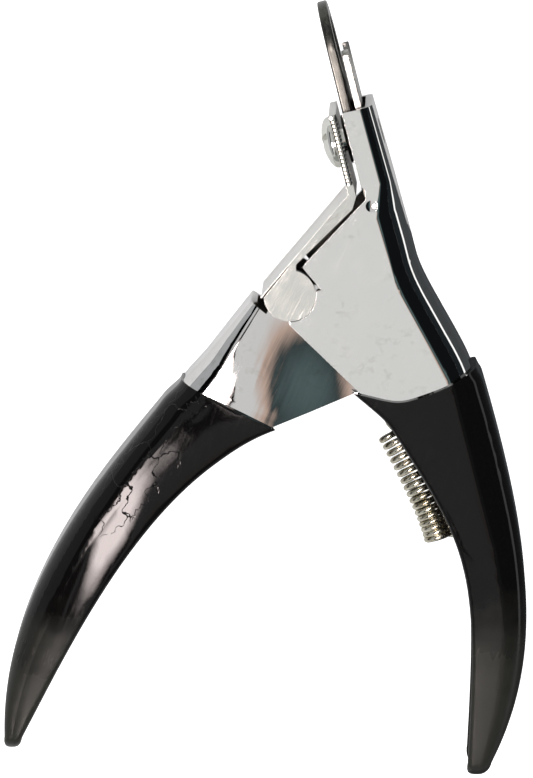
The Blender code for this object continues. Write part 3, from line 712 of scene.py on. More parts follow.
@dataclass(frozen=True)
class DippedVinyl(Finish):
    """Vinyl dipped over metal: a thick gloss skin, faintly wavy, duller and greyer where hands wear its ends."""

    colour: str = "#0d0c0c"
    bloom: str = "#1d1a19"
    worn: str = "#2c2c28"
    crackle_at: tuple[float, float] | None = None

    def dress(self, tree: Tree, place: Node) -> dict[str, object]:
        """Waves 7 mm long bend the highlights; the worn ends start about 50 mm below the pivot over 15 mm.

        Args:
            tree: The material's node tree.
            place: Place in millimetres.

        Returns:
            What the shader's sockets get.
        """
        height = add(tree, "SeparateXYZ", place).outputs["Y"]
        edge = add(tree, "Math", marks(tree, place, 6.0, 4.0), 16.0, height, operation="MULTIPLY_ADD")
        worn = add(tree, "MapRange", edge, -41.0, -56.0, 0.0, 1.0)
        grain = marks(tree, place, 0.5, 3.0)
        speck = add(tree, "MapRange", grain, 0.45, 0.75, 0.0, 0.12)
        skin = add(tree, "Mix", speck, data_type="RGBA", A_Color=linear(self.colour), B_Color=linear(self.bloom))
        scuffs = marks(tree, place, 0.4, 2.0, (12.0, 1.0, 1.0), math.radians(70))
        gloss = add(tree, "MapRange", scuffs, 0.5, 0.85, 0.06, 0.13)
        heights = [(marks(tree, place, 7.0, 1.0), 0.05), (grain, 0.0015)]
        if self.crackle_at is not None:
            heights.append((self.crackle(tree, place), -0.06))
        return {
            "Base_Color": add(tree, "Mix", worn, data_type="RGBA", A_Color=skin, B_Color=linear(self.worn)),
            "Roughness": add(tree, "Math", worn, 0.3, gloss, operation="MULTIPLY_ADD"),
            "IOR": 1.3,
            "Normal": lift(tree, *heights),
        }

    def crackle(self, tree: Tree, place: Node) -> Node:
        """Hair cracks: the borders of 3 mm cells pulled out along the handle, only near one spot.

        Args:
            tree: The material's node tree.
            place: Place in millimetres.

        Returns:
            The node that is 1 on a crack and 0 elsewhere.
        """
        wander = add(tree, "TexNoise", place, Scale=0.5, Detail=2.0).outputs["Color"]
        moved = add(tree, "VectorMath", wander, (3.0,) * 3, place, operation="MULTIPLY_ADD")
        lean, way = math.radians(62), math.radians(56)
        drawn = add(tree, "Mapping", moved, vector_type="TEXTURE", Rotation=(0, 0, lean), Scale=(2.6, 1.0, 1.0))
        cells = add(tree, "TexVoronoi", drawn, feature="DISTANCE_TO_EDGE", Scale=0.34)
        line = add(tree, "MapRange", cells, 0.0, 0.02, 1.0, 0.0)
        spot, reach = (*self.crackle_at, SHEET.body_half), (15.0, 4.5, 9.0)
        oval = add(tree, "Mapping", place, vector_type="TEXTURE", Location=spot, Rotation=(0, 0, way), Scale=reach)
        near = add(tree, "MapRange", add(tree, "VectorMath", oval, operation="LENGTH"), 0.7, 1.05, 1.0, 0.0)
        return add(tree, "Math", line, near, operation="MULTIPLY")


@dataclass(frozen=True)
class NickelWire(Finish):
    """Nickel-plated spring wire: soft bright metal with a warm tarnish in patches."""

    colour: str = "#dcd8c8"
    tarnish: str = "#a1977c"

    def dress(self, tree: Tree, place: Node) -> dict[str, object]:
        """Tarnish comes in 2 mm patches; drawing marks are 0.25 mm apart.

        Args:
            tree: The material's node tree.
            place: Place in millimetres.

        Returns:
            What the shader's sockets get.
        """
        patch = add(tree, "MapRange", marks(tree, place, 2.0, 3.0), 0.42, 0.68, 0.0, 0.8)
        drawn = marks(tree, place, 0.25, 1.0)
        bright, warm = linear(self.colour), linear(self.tarnish)
        return {
            "Base_Color": add(tree, "Mix", patch, data_type="RGBA", A_Color=bright, B_Color=warm),
            "Metallic": 1.0,
            "Roughness": add(tree, "MapRange", drawn, 0.3, 0.7, 0.16, 0.3),
            "Normal": lift(tree, (drawn, 0.003)),
        }


@dataclass(frozen=True)
class PaintedShadeInside(Finish):
    """Inner faces of the pressings, painted dark as painted shade where little light reaches: matt, with a greasy
    bloom.
    """

    colour: str = "#2b2926"
    bloom: str = "#4a463f"

    def dress(self, tree: Tree, place: Node) -> dict[str, object]:
        """The bloom comes and goes over 3 mm; the grit under it is 0.3 mm.

        Args:
            tree: The material's node tree.
            place: Place in millimetres.

        Returns:
            What the shader's sockets get.
        """
        share = add(tree, "MapRange", marks(tree, place, 3.0, 3.0), 0.4, 0.7, 0.0, 1.0)
        grit = marks(tree, place, 0.3, 2.0)
        dark, greasy = linear(self.colour), linear(self.bloom)
        return {
            "Base_Color": add(tree, "Mix", share, data_type="RGBA", A_Color=dark, B_Color=greasy),
            "Metallic": 0.6,
            "Roughness": add(tree, "MapRange", grit, 0.3, 0.7, 0.38, 0.6),
            "Normal": lift(tree, (grit, 0.004)),
        }


# Painted shade on the inner faces: dark, so that slots and gaps read as deep.
PAINTED_SHADE_INSIDE = PaintedShadeInside("dull_inner_steel")
# Decorative chrome: near-mirror, light grey where it sees the ceiling.
CHROME = BrightChrome("bright_chrome_plate")
# The same chrome over a crowned wall: its reflections pool and bend.
LEVER_CHROME = PressedChrome("wavy_chrome_plate", colour="#dedddc", wave=0.02)
# Chrome over a coarser pressing: a little softer and greyer.
COVER_CHROME = BrightChrome("satin_chrome_plate", colour="#deded9", roughness=0.05)
# Oiled hardening steel: dark grey with a brushed sheen.
RING_STEEL = GroundSteel("oiled_plate_steel", colour="#5c5c58", film="#262624")
# Ground stainless blade: pale grey, streaked along its travel.
BLADE_STEEL = GroundSteel("ground_blade_steel", colour="#b9b8b4", film="#86847f")
# Turned steel pins: mid grey, softly streaked.
PIN_STEEL = GroundSteel("turned_pin_steel", colour="#b9b8b4", film="#7d7b76")
# Dipped PVC, crackled where the lever's grip bends.
LEVER_VINYL = DippedVinyl("black_dipped_vinyl_lever", crackle_at=(-23.0, -26.0))
# Dipped PVC, whole: near black and glossy, grey at its end.
FRAME_VINYL = DippedVinyl("black_dipped_vinyl_frame")
# Nickel-plated music wire: warm silver.
WIRE = NickelWire("nickel_plated_wire")


def dressed(
    obj: bpy.types.Object, finish: Finish, body: Body | None, stands_for: Sequence[str] = ()
) -> bpy.types.Object:
    """Gives a piece its finish, its body and the frame's nodes it stands for.

    Args:
        obj: The piece.
        finish: Its finish.
        body: Body it rides on; None for a piece that bends between two.
        stands_for: Nodes of the frame it replaces.

    Returns:
        The piece.
    """
    obj.data.materials[0] = finish.build()
    # Inner faces (material 1) of plated pieces get the painted-shade finish.
    obj.data.materials[1] = (PAINTED_SHADE_INSIDE if finish.name.endswith("plate") else finish).build()
    if body is not None:
        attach(obj, body.value)
    if stands_for:
        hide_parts(*stands_for)
    LOG.info("%s: %d faces, %s", obj.name, len(obj.data.polygons), finish.name)
    return obj


# ---------------------------------------------------------------- channels and dipped sleeves


@dataclass
class Path:
    """A channel's run: matching points of its back and of its open front, with the normals of its back."""

    back: Array
    front: Array

    def __post_init__(self) -> None:
        """Works out the unit normals of the back, turned towards the front."""
        ahead = np.gradient(self.back, axis=0)
        normal = np.stack([-ahead[:, 1], ahead[:, 0]], axis=1)
        normal /= np.linalg.norm(normal, axis=1, keepdims=True)
        self.normal = normal * np.sign(np.sum(normal * (self.front - self.back), axis=1, keepdims=True))

    @property
    def depth(self) -> Array:
        """Distance from back to front at each station."""
        return np.linalg.norm(self.front - self.back, axis=1)

    def at(self, inward: Array, share: Array) -> Array:
        """Points between the back and the front.

        The first part of the way follows the back's own normal, so that bends keep their radius; the share
        carries the rest over to the straight line from back to front.

        Args:
            inward: Distance from the back for each station and section point.
            share: 0 follows the back's normal, 1 the line to the front.

        Returns:
            Array of plan points, stations by section points.
        """
        line = (self.front - self.back) / self.depth[:, None]
        way = (1 - share)[..., None] * self.normal[:, None] + share[..., None] * line[:, None]
        return self.back[:, None] + inward[..., None] * way


def bend_points(radius: Array, centre_in: Array, centre_across: Array, start: float, steps: int) -> tuple[Array, Array]:
    """Quarter circle of a section for every station: centre plus radius times the cosine and sine.

    Args:
        radius: Radius at each station.
        centre_in: Centre's distance from the back.
        centre_across: Centre's place across the tool.
        start: First angle in degrees.
        steps: Steps of the quarter.

    Returns:
        Distances from the back, and places across the tool.
    """
    turn = np.radians(np.linspace(start, start + 90.0, steps + 1))
    return (
        centre_in[:, None] + radius[:, None] * np.cos(turn),
        centre_across[:, None] + radius[:, None] * np.sin(turn),
    )


def channel(name: str, path: Path, half: Array, bend: Array, inner_bend: float, steps: int = 12) -> bpy.types.Object:
    """Pressed channel along a path: a web with a round bend at each side and two flat walls.

    Args:
        name: Name of the object.
        path: Back and front of the channel.
        half: Half width at each station.
        bend: Outer bend radius at each station.
        inner_bend: Inner bend radius.
        steps: Steps of each bend.

    Returns:
        The new object.
    """
    gauge, depth = SHEET.gauge, path.depth
    bend = np.minimum(bend, 0.45 * depth)
    small = np.minimum(inner_bend, bend)
    far = np.full_like(depth, 1.0)
    inner = half - gauge
    parts = [
        (depth[:, None], half[:, None], far[:, None]),
        (*bend_points(bend, bend, half - bend, 90.0, steps), None),
        (*bend_points(bend, bend, bend - half, 180.0, steps), None),
        (depth[:, None], -half[:, None], far[:, None]),
        (depth[:, None], -inner[:, None], far[:, None]),
    ]
    inside = [
        (*bend_points(small, gauge + small, inner - small, 90.0, steps // 2), None),
        (*bend_points(small, gauge + small, small - inner, 180.0, steps // 2), None),
    ]
    flipped = [(a[:, ::-1], b[:, ::-1], None) for a, b, _ in inside[::-1]]
    parts += flipped + [(depth[:, None], inner[:, None], far[:, None])]
    inward = np.concatenate([p[0] for p in parts], axis=1)
    across = np.concatenate([p[1] for p in parts], axis=1)
    share = np.concatenate([np.zeros_like(p[0]) if p[2] is None else p[2] for p in parts], axis=1)
    # Section points past the outside are inner faces; their mark 1 gives them the painted-shade finish on plated
    # pieces.
    outside = 2 * (steps + 1) + 2
    inside = np.arange(inward.shape[1]) >= outside
    inside[-1] = False
    return tube_of_rows(name, lying(path.at(inward, share), across), inside)


@dataclass(frozen=True)
class Sleeve:
    """Dipped coat round a channel: its skin, its crowned walls and its lips over the channel's edges."""

    skin: float = 1.05
    crown: float = 0.7
    apex: float = 0.5
    edge: float = 0.85

    def section(self, depth: Array, half: Array, bend: Array, lip: Array) -> tuple[Array, Array]:
        """Closed section as distances from the back and places across the tool.

        The outside wall falls away from its highest line as a parabola, rolls over a round edge at the front, runs
        back inside along the lip and follows the channel's own outside at one skin's distance.

        Args:
            depth: Depth at each station.
            half: Half width at the crown.
            bend: Bend radius of the back.
            lip: How close the lips come to the middle.

        Returns:
            Two arrays, stations by section points.
        """
        one = np.ones_like(depth)[:, None]
        d, h, r = depth[:, None], half[:, None], bend[:, None]
        u = np.linspace(0.0, 1.0, 15)[None]
        wall_in = (r + (d - self.edge - r) * u[:, ::-1]) * one
        fall = self.crown * ((wall_in / d - self.apex) / self.apex) ** 2
        wall_across = h - fall
        turn = np.radians(np.linspace(90.0, 180.0, 11))[None]
        side = wall_across[:, -1:]
        back_in = r * (1 + np.cos(turn[:, 1:]))
        back_across = side - r + r * np.sin(turn[:, 1:])
        roll = np.radians(np.linspace(-70.0, 90.0, 9))[None]
        start = wall_across[:, :1]
        edge_in = d - self.edge + self.edge * np.cos(roll)
        edge_across = start - self.edge + self.edge * np.sin(roll)
        lip_across = np.minimum(lip[:, None], start - 2 * self.edge + 0.4)
        front = d - self.skin * 0.9
        inner = start - self.skin
        lip_in = np.concatenate([d - 0.25 * one, front], axis=1)
        lip_out = np.concatenate([lip_across, lip_across], axis=1)
        small = np.maximum(r - self.skin, 0.3)
        hollow_turn = np.radians(np.linspace(180.0, 90.0, 7))[None]
        hollow_in = self.skin + small * (1 + np.cos(hollow_turn))
        hollow_across = inner - small + small * np.sin(hollow_turn)
        outer_in = np.concatenate([edge_in, wall_in[:, 1:], back_in], axis=1)
        outer_across = np.concatenate([edge_across, wall_across[:, 1:], back_across], axis=1)
        inside_in = np.concatenate([hollow_in, front, lip_in[:, ::-1]], axis=1)
        inside_across = np.concatenate([hollow_across, inner, lip_out], axis=1)
        inward = np.concatenate([outer_in, outer_in[:, ::-1], inside_in[:, ::-1], inside_in], axis=1)
        across = np.concatenate(
            [outer_across, -outer_across[:, ::-1], -inside_across[:, ::-1], inside_across], axis=1
        )
        return inward, across


@dataclass(frozen=True)
class Handle:
    """A dipped handle: the curves of its coated back and inner edge, and how it widens and narrows."""

    back_poles: tuple
    inner_poles: tuple
    root_half: float
    tip_radius: float
    lead: float = 0.22
    widening: tuple[float, float] = (18.0, 28.0)
    narrowing: tuple[float, float] = (50.0, 38.0)
    tip_narrowing: float = 2.0
    metal_end: float = 0.93
    mouth: float = 8.0

    def rung(self, t: Array | float) -> tuple[Array, Array]:
        """Coated back and inner edge at a station; the inner edge runs a little ahead in the middle."""
        u = np.asarray(t, float)
        return cubic(self.back_poles, u), cubic(self.inner_poles, u + self.lead * u * (1.0 - u))

    def half(self, points: Array) -> Array:
        """Half width of the metal by distance from the pivot: two smooth steps, out and in again.

        Args:
            points: Plan points of the stations.

        Returns:
            Half width at each of them.
        """
        reach = np.linalg.norm(points, axis=-1)
        wide = self.root_half + (SHEET.body_half - self.root_half) * smooth(
            (reach - self.widening[0]) / self.widening[1]
        )
        return wide - self.tip_narrowing * smooth((reach - self.narrowing[0]) / self.narrowing[1])

    def metal(self, t: Array) -> tuple[Array, Array]:
        """Metal's back and front at these stations: the coated lines moved in by the coat.

        Args:
            t: Stations along the handle, from 0 to 1.

        Returns:
            Back and front of the metal.
        """
        back, front = self.rung(t)
        step = (front - back) / np.linalg.norm(front - back, axis=1, keepdims=True)
        return back + SHEET.coat_offset * step, front - SHEET.coat_offset * step

    def sleeve(self, name: str, lead_back: Array, lead_front: Array, sleeve: Sleeve) -> bpy.types.Object:
        """The dipped coat from its open top to its closed, rounded tip.

        Past the last station the section shrinks round the tip: ahead by the sine and across by the cosine
        of an angle that runs to a right angle.

        Args:
            name: Name of the object.
            lead_back: Coated back points above the handle's own first station.
            lead_front: Coated front points there.
            sleeve: Section of the coat.

        Returns:
            The new object.
        """
        t = np.linspace(0.0 if len(lead_back) == 0 else 0.02, 1.0, 60)
        back, front = self.rung(t)
        if len(lead_back):
            back, front = np.concatenate([lead_back, back]), np.concatenate([lead_front, front])
        joined = soften(resample(np.concatenate([back, front], axis=1), 110), 1.6)
        back, front = joined[:, :2], joined[:, 2:]
        line = (front - back) / np.linalg.norm(front - back, axis=1, keepdims=True)
        thin = 1.0 - smooth(along((back + front) / 2) / self.mouth)
        back, front = back + 0.85 * thin[:, None] * line, front - 0.3 * thin[:, None] * line
        middle, spread = (back[-1] + front[-1]) / 2, (front[-1] - back[-1]) / 2
        heading = middle - (back[-5] + front[-5]) / 2
        heading /= np.linalg.norm(heading)
        turn = np.radians(np.array([12.0, 24.0, 36.0, 48.0, 60.0, 70.0, 79.0, 86.0]))
        share = 0.12 + 0.88 * np.cos(turn)
        ahead = self.tip_radius * np.sin(turn)[:, None] * heading
        back = np.concatenate([back, middle + ahead - share[:, None] * spread])
        front = np.concatenate([front, middle + ahead + share[:, None] * spread])
        half = self.half((back + front) / 2) + SHEET.coat_offset
        half[: len(thin)] -= 0.15 * thin
        half[-8:] = half[-9] - (1 - np.cos(turn)) * (half[-9] - 3.2)
        depth = np.linalg.norm(front - back, axis=1)
        bend = np.minimum(SHEET.outer_bend + SHEET.coat_offset, 0.45 * depth)
        lip = SHEET.wall_inner - 0.15 + half - SHEET.coat_offset - SHEET.body_half
        closing = smooth((np.arange(len(depth)) - (len(depth) - 18)) / 8.0)
        inward, across = sleeve.section(depth, half, bend, lip * (1 - closing) + 0.5 * closing)
        line = (front - back) / depth[:, None]
        rows = lying(back[:, None] + inward[..., None] * line[:, None], across)
        return tube_of_rows(name, rows)


FIXED_HANDLE = Handle(
    ((30.2, -11.6), (38.9, -41.1), (41.6, -59.5), (32.6, -77.0)),
    ((14.3, -18.6), (28.5, -41.1), (30.5, -42.5), (28.6, -77.0)), 9.0, 2.6, mouth=16.0,
)
LEVER_HANDLE = Handle(
    ((-19.0, -13.8), (-20.5, -19.4), (-48.2, -42.9), (-47.2, -73.0)),
    ((-2.5, -22.0), (-22.6, -29.1), (-34.5, -54.0), (-44.2, -73.0)), 7.5, 2.4,
)


# ---------------------------------------------------------------- the fixed body


@dataclass
class FixedBody:
    """The pressed body that holds the head's plates, and its dipped grip."""

    handle: Handle = FIXED_HANDLE
    flare_poles: tuple = ((21.1, 1.7), (25.3, -4.1))
    heel: tuple[float, float] = (-0.4, -4.5)
    toe: tuple[float, float] = (11.4, -16.0)
    relief_centre: tuple[float, float] = (10.94, 17.2)
    relief_radius: float = 0.83
    plate_corner: tuple[float, float] = (1.53, 5.0)
    seat_mouth: tuple[float, float] = (4.6, 1.4)
    bend: float = 4.6
    ear_gap: float = 0.1
    anchor_hole: float = 1.2
    dimple_radius: float = 1.0
    dimple_depth: float = 0.14
    anchor: tuple[float, float] = (31.5, -45.0)
    collar_wall: float = 1.05

    def stations(self) -> tuple[Array, Array]:
        """Metal's back and front from the head's top to the handle's end, each line softened once.

        Returns:
            Back and front of the metal, station for station.
        """
        up = np.linspace(STACK.housing_top, 0.9, 60)
        head_back = head(0.0, up) + np.asarray(STACK.web_back(np.maximum(up, 5.0)))[:, None] * unit(HEAD_LEAN)
        first_back, _ = self.handle.metal(np.array([0.0]))
        flare = cubic((head_back[-1], *self.flare_poles, first_back[0]), np.linspace(0, 1, 40))
        t = np.linspace(0.02, self.handle.metal_end, 70)
        handle_back, handle_front = self.handle.metal(t)
        corners = np.array(
            [
                head(STACK.ring_front, STACK.housing_top), head(STACK.ring_front, STACK.housing_foot), (9.6, 15.6),
                (4.2, 9.4), (1.2, 5.4), (-0.5, 0.4), self.heel, np.add(self.heel, self.toe) / 2, self.toe,
            ]
        )
        at = np.array([0.0, 28.0, 33.0, 51.0, 60.0, 70.0, 80.0, 90.0, 100.0])
        station = np.arange(100.0)
        front = np.stack([np.interp(station, at, column) for column in corners.T], axis=1)
        back = np.concatenate([head_back, flare, handle_back])
        return soften(back, 2.5), np.concatenate([front, handle_front])

    def relief(self) -> Array:
        """Opening in both walls: the slot beside the cover's arm and the round seat of its ear.

        Returns:
            Closed outline of the opening.
        """
        left = np.array(self.relief_centre) - (self.relief_radius, 0.0)
        seat = EAR_RADIUS + self.ear_gap
        corner = np.array(self.plate_corner)
        rows = [
            [left + (-3.0, -1.0), left],
            arc(self.relief_centre, self.relief_radius, math.pi, 0.0, 14)[1:],
            [np.array(self.relief_centre) + (self.relief_radius, -1.1), corner + (0.35, 0.45), corner + (0.1, 0.05)],
            [corner + (0.3, -0.3), self.seat_mouth],
            arc(EAR_CENTRE, seat, math.radians(8.0), math.radians(-92.0), 40),
            [EAR_CENTRE + (-8.0, -seat), EAR_CENTRE + (-8.0, 12.0)],
        ]
        return np.concatenate([np.asarray(row, float) for row in rows])

    def build_metal(self) -> bpy.types.Object:
        """The channel with its reliefs, screw collar and dimples.

        Returns:
            The finished piece.
        """
        back, front = self.stations()
        path = Path(back, front)
        half = self.handle.half((back + front) / 2)
        body = channel("body_channel", path, half, np.full(len(back), self.bend), SHEET.inner_bend)
        reach = SHEET.body_half + 2
        carve(body, plate("relief", self.relief(), -reach, reach))
        bore = STACK.bore
        middle = STACK.web_back(STACK.screw_height) - SHEET.gauge / 2
        start = STACK.ring_back + SHEET.run_gap
        collar = head_post("collar", bore + self.collar_wall, start, middle, STACK.screw_height)
        carve(body, collar, "UNION")
        carve(body, head_post("bore", bore, STACK.ring_back - 1, STACK.web_low + 2, STACK.screw_height))
        spot = head((STACK.ring_front + STACK.ring_back) / 2, STACK.ring_foot - SHEET.run_gap - self.dimple_radius)
        for side in (-1.0, 1.0):
            self.press_dimple(body, spot, side)
        carve(body, post("anchor_drill", self.anchor_hole, -reach, reach, self.anchor))
        ease_edges(body, 0.1)
        return dressed(body, CHROME, Body.FRAME, ["frame_channel"])

    def press_dimple(self, body: bpy.types.Object, spot: Array, side: float) -> None:
        """Presses one wall inwards: a pad is added inside, and a shallow ball cut from outside.

        Args:
            body: Channel to press.
            spot: Plan point of the dimple.
            side: 1 for the near wall, -1 for the far one.
        """
        low, high = sorted((side * (SHEET.wall_inner - self.dimple_depth), side * (SHEET.wall_inner + 0.6)))
        carve(body, post("dimple_pad", self.dimple_radius, low, high, spot), "UNION")
        ball = (self.dimple_radius**2 + self.dimple_depth**2) / (2 * self.dimple_depth)
        turn = np.linspace(0.02, math.pi - 0.02, 40)
        profile = np.stack([ball * np.sin(turn), -ball * np.cos(turn)], axis=1)
        level = side * (SHEET.body_half - self.dimple_depth + ball)
        centre = np.array((*spot, level))
        carve(body, turned("dimple_ball", profile, centre, np.array((0.0, 0.0, 1.0))))

    def build_grip(self) -> bpy.types.Object:
        """The dipped coat, trimmed to the line it was dipped to.

        Returns:
            The finished piece.
        """
        back, front = self.stations()
        first, last = 84, 100
        step = (front - back) / np.linalg.norm(front - back, axis=1, keepdims=True)
        lead_back = (back - SHEET.coat_offset * step)[first:last]
        lead_front = (front + SHEET.coat_offset * step)[first:last]
        grip = self.handle.sleeve("fixed_dipped_grip", lead_back, lead_front, Sleeve(crown=0.12))
        dip = np.array(DIP_LINE)
        smooth_dip = soften(resample(dip, 60), 4.0)
        above = np.concatenate([smooth_dip, [(40.0, 10.0), (-20.0, 10.0), (-20.0, -12.0)]])
        carve(grip, plate("dip_trim", above, -SHEET.body_half - 4, SHEET.body_half + 4))
        ease_edges(grip, 0.4, 4)
        return dressed(grip, FRAME_VINYL, Body.FRAME, ["fixed_grip"])


# ---------------------------------------------------------------- the lever


@dataclass
class Lever:
    """The moving handle: pressed channel with boss and fingers, and its dipped grip."""

    handle: Handle = LEVER_HANDLE
    outer: float = 4.8
    web_top: float = -4.9
    end_bend: float = 1.6
    finger_reach: float = 17.5
    finger_half: float = 1.3
    boss_radius: float = 2.5
    travel: float = math.radians(35.0)
    hook: tuple[float, float] = (10.4, -12.0)
    hook_hole: float = 1.2

    def stations(self) -> tuple[Array, Array, Array]:
        """Metal's back and front, and the bend radius, from above the pivot to the handle's end.

        Returns:
            Back and front of the metal, and its bend radius, station for station.
        """
        first_back, first_front = self.handle.metal(np.array([0.0]))
        backs = [lever_web(2.0, self.outer), lever_web(-6.0, self.outer), lever_web(-12.5, self.outer)]
        backs += [lever_web(-17.0, self.outer), first_back[0]]
        fronts = [(21.0, 7.0), (21.0, -7.0), (10.9, -15.4), (2.8, -18.9), first_front[0]]
        station = np.linspace(0.0, 4.0, 60, endpoint=False)
        back = np.stack([np.interp(station, range(5), c) for c in np.array(backs).T], axis=1)
        front = np.stack([np.interp(station, range(5), c) for c in np.array(fronts).T], axis=1)
        t = np.linspace(0.01, self.handle.metal_end, 60)
        handle_back, handle_front = self.handle.metal(t)
        back = soften(np.concatenate([back, handle_back]), 2.0)
        bend = self.end_bend + (SHEET.outer_bend - self.end_bend) * smooth(np.arange(len(back)) / 60.0)
        return back, np.concatenate([front, handle_front]), bend

    def keep(self) -> Array:
        """What is kept of the walls: boss, finger, nose, and everything towards the handle.

        Returns:
            Closed outline of what stays.
        """
        angle = HEAD_LEAN - self.travel / 2
        ahead, aside = unit(angle), unit(angle + math.pi / 2)
        nose = self.finger_reach - self.finger_half
        turn = math.asin(self.finger_half / nose)
        rows = [
            [lever_web(self.web_top, self.outer + 3), lever_web(self.web_top, self.outer - 3.2)],
            arc((0, 0), self.boss_radius, math.radians(145.0), math.radians(80.0), 16),
            [14.0 * ahead + self.finger_half * aside],
            arc(self.finger_reach * ahead, self.finger_half, angle + math.pi / 2, angle - math.pi / 2, 20),
            arc((0, 0), nose, angle - turn, angle - math.radians(20.5), 12),
            [(10.6, -15.5), (14.0, -30.0), (-20.0, -100.0), (-70.0, -90.0), (-60.0, 2.0)],
        ]
        return np.concatenate([np.asarray(row, float) for row in rows])

    def build_metal(self) -> bpy.types.Object:
        """The channel cut to its outline and drilled.

        Returns:
            The finished piece.
        """
        back, front, bend = self.stations()
        path = Path(back, front)
        half = self.handle.half((back + front) / 2)
        lever = channel("lever_channel_pressed", path, half, bend, SHEET.inner_bend)
        reach = SHEET.body_half + 3
        carve(lever, plate("lever_keep", self.keep(), -reach, reach), "INTERSECT")
        carve(lever, post("pivot_drill", PIN_HOLE, -10, 10, (0, 0)))
        carve(lever, post("hook_drill", self.hook_hole, -10, 10, self.hook))
        ease_edges(lever, 0.14)
        return dressed(lever, LEVER_CHROME, Body.LEVER, ["lever_channel"])

    def build_grip(self) -> bpy.types.Object:
        """The dipped coat.

        Returns:
            The finished piece.
        """
        grip = self.handle.sleeve("lever_dipped_grip", np.empty((0, 2)), np.empty((0, 2)), Sleeve(crown=1.5, apex=0.85))
        ease_edges(grip, 0.4, 4)
        return dressed(grip, LEVER_VINYL, Body.LEVER, ["lever_grip"])


# ---------------------------------------------------------------- the head's plates


@dataclass
class RingPlate:
    """The plate with the hole the nail goes through, clamped by the screw."""

    boss_radius: float = 4.0
    boss_front: float = 14.25
    back: float = 16.6

    def build(self) -> bpy.types.Object:
        """A tongue with a round top, its rim eased, with its boss, screw hole and nail hole.

        Returns:
            The finished piece.
        """
        half, centre = STACK.ring_half, STACK.nail_centre
        foot = [(-half, STACK.ring_foot), (half, STACK.ring_foot)]
        outline = np.concatenate([foot, arc((0, centre), half, 0, math.pi, 60)])
        ring = plate("ring_plate_ground", outline, STACK.ring_front, self.back, standing, 0.3)
        boss = head_post("ring_boss", self.boss_radius, self.boss_front, STACK.ring_front + 0.5, STACK.screw_height)
        carve(ring, boss, "UNION")
        carve(ring, head_post("ring_drill", STACK.bore, STACK.cover_front, STACK.web_low, STACK.screw_height))
        carve(ring, head_post("nail_hole", STACK.nail_hole, STACK.cover_front, STACK.web_low, centre, 96))
        ease_edges(ring, 0.2)
        return dressed(ring, RING_STEEL, Body.FRAME, ["ring_plate"])


@dataclass
class Blade:
    """The sliding guillotine blade, hollow at its edge and notched at its foot for the lever's fingers."""

    half: float = 7.1
    horn: float = 36.8
    edge_radius: float = 5.3
    finger_half: float = 1.3
    finger_reach: float = 17.5
    travel: float = math.radians(35.0)

    def build(self) -> bpy.types.Object:
        """The blade's outline made a plate, with the slot that clears the screw's collar.

        Returns:
            The finished piece.
        """
        height = -self.finger_reach * math.sin(self.travel / 2)
        low, high = height - self.finger_half - 0.4, height + self.finger_half + 0.4
        neck = SHEET.lever_half - SHEET.gauge - SHEET.run_gap
        side = [(self.half, low - 1.8), (self.half, low), (neck, low), (neck, high), (self.half, high)]
        centre = STACK.nail_centre
        start = math.asin((self.horn - centre) / self.edge_radius)
        horn = arc((self.half - 0.9, self.horn - 0.9), 0.9, 0, math.pi / 2, 8)
        edge = arc((0, centre), self.edge_radius, start, -math.pi - start, 48)
        right = np.concatenate([np.array(side), horn])
        outline = np.concatenate([right, edge, right[::-1] * (-1, 1)])
        blade = plate("blade_ground", outline, STACK.blade_front, STACK.blade_back, standing, 0.12)
        half = STACK.bore + FixedBody.collar_wall + SHEET.run_gap
        foot = STACK.screw_height + 2 * height
        slot = np.concatenate(
            [arc((0, STACK.screw_height), half, 0, math.pi, 24), arc((0, foot), half, math.pi, 2 * math.pi, 24)]
        )
        carve(blade, plate("blade_slot", slot, STACK.ring_front, STACK.web_low, standing))
        ease_edges(blade, 0.0)
        return dressed(blade, BLADE_STEEL, Body.BLADE, ["blade"])


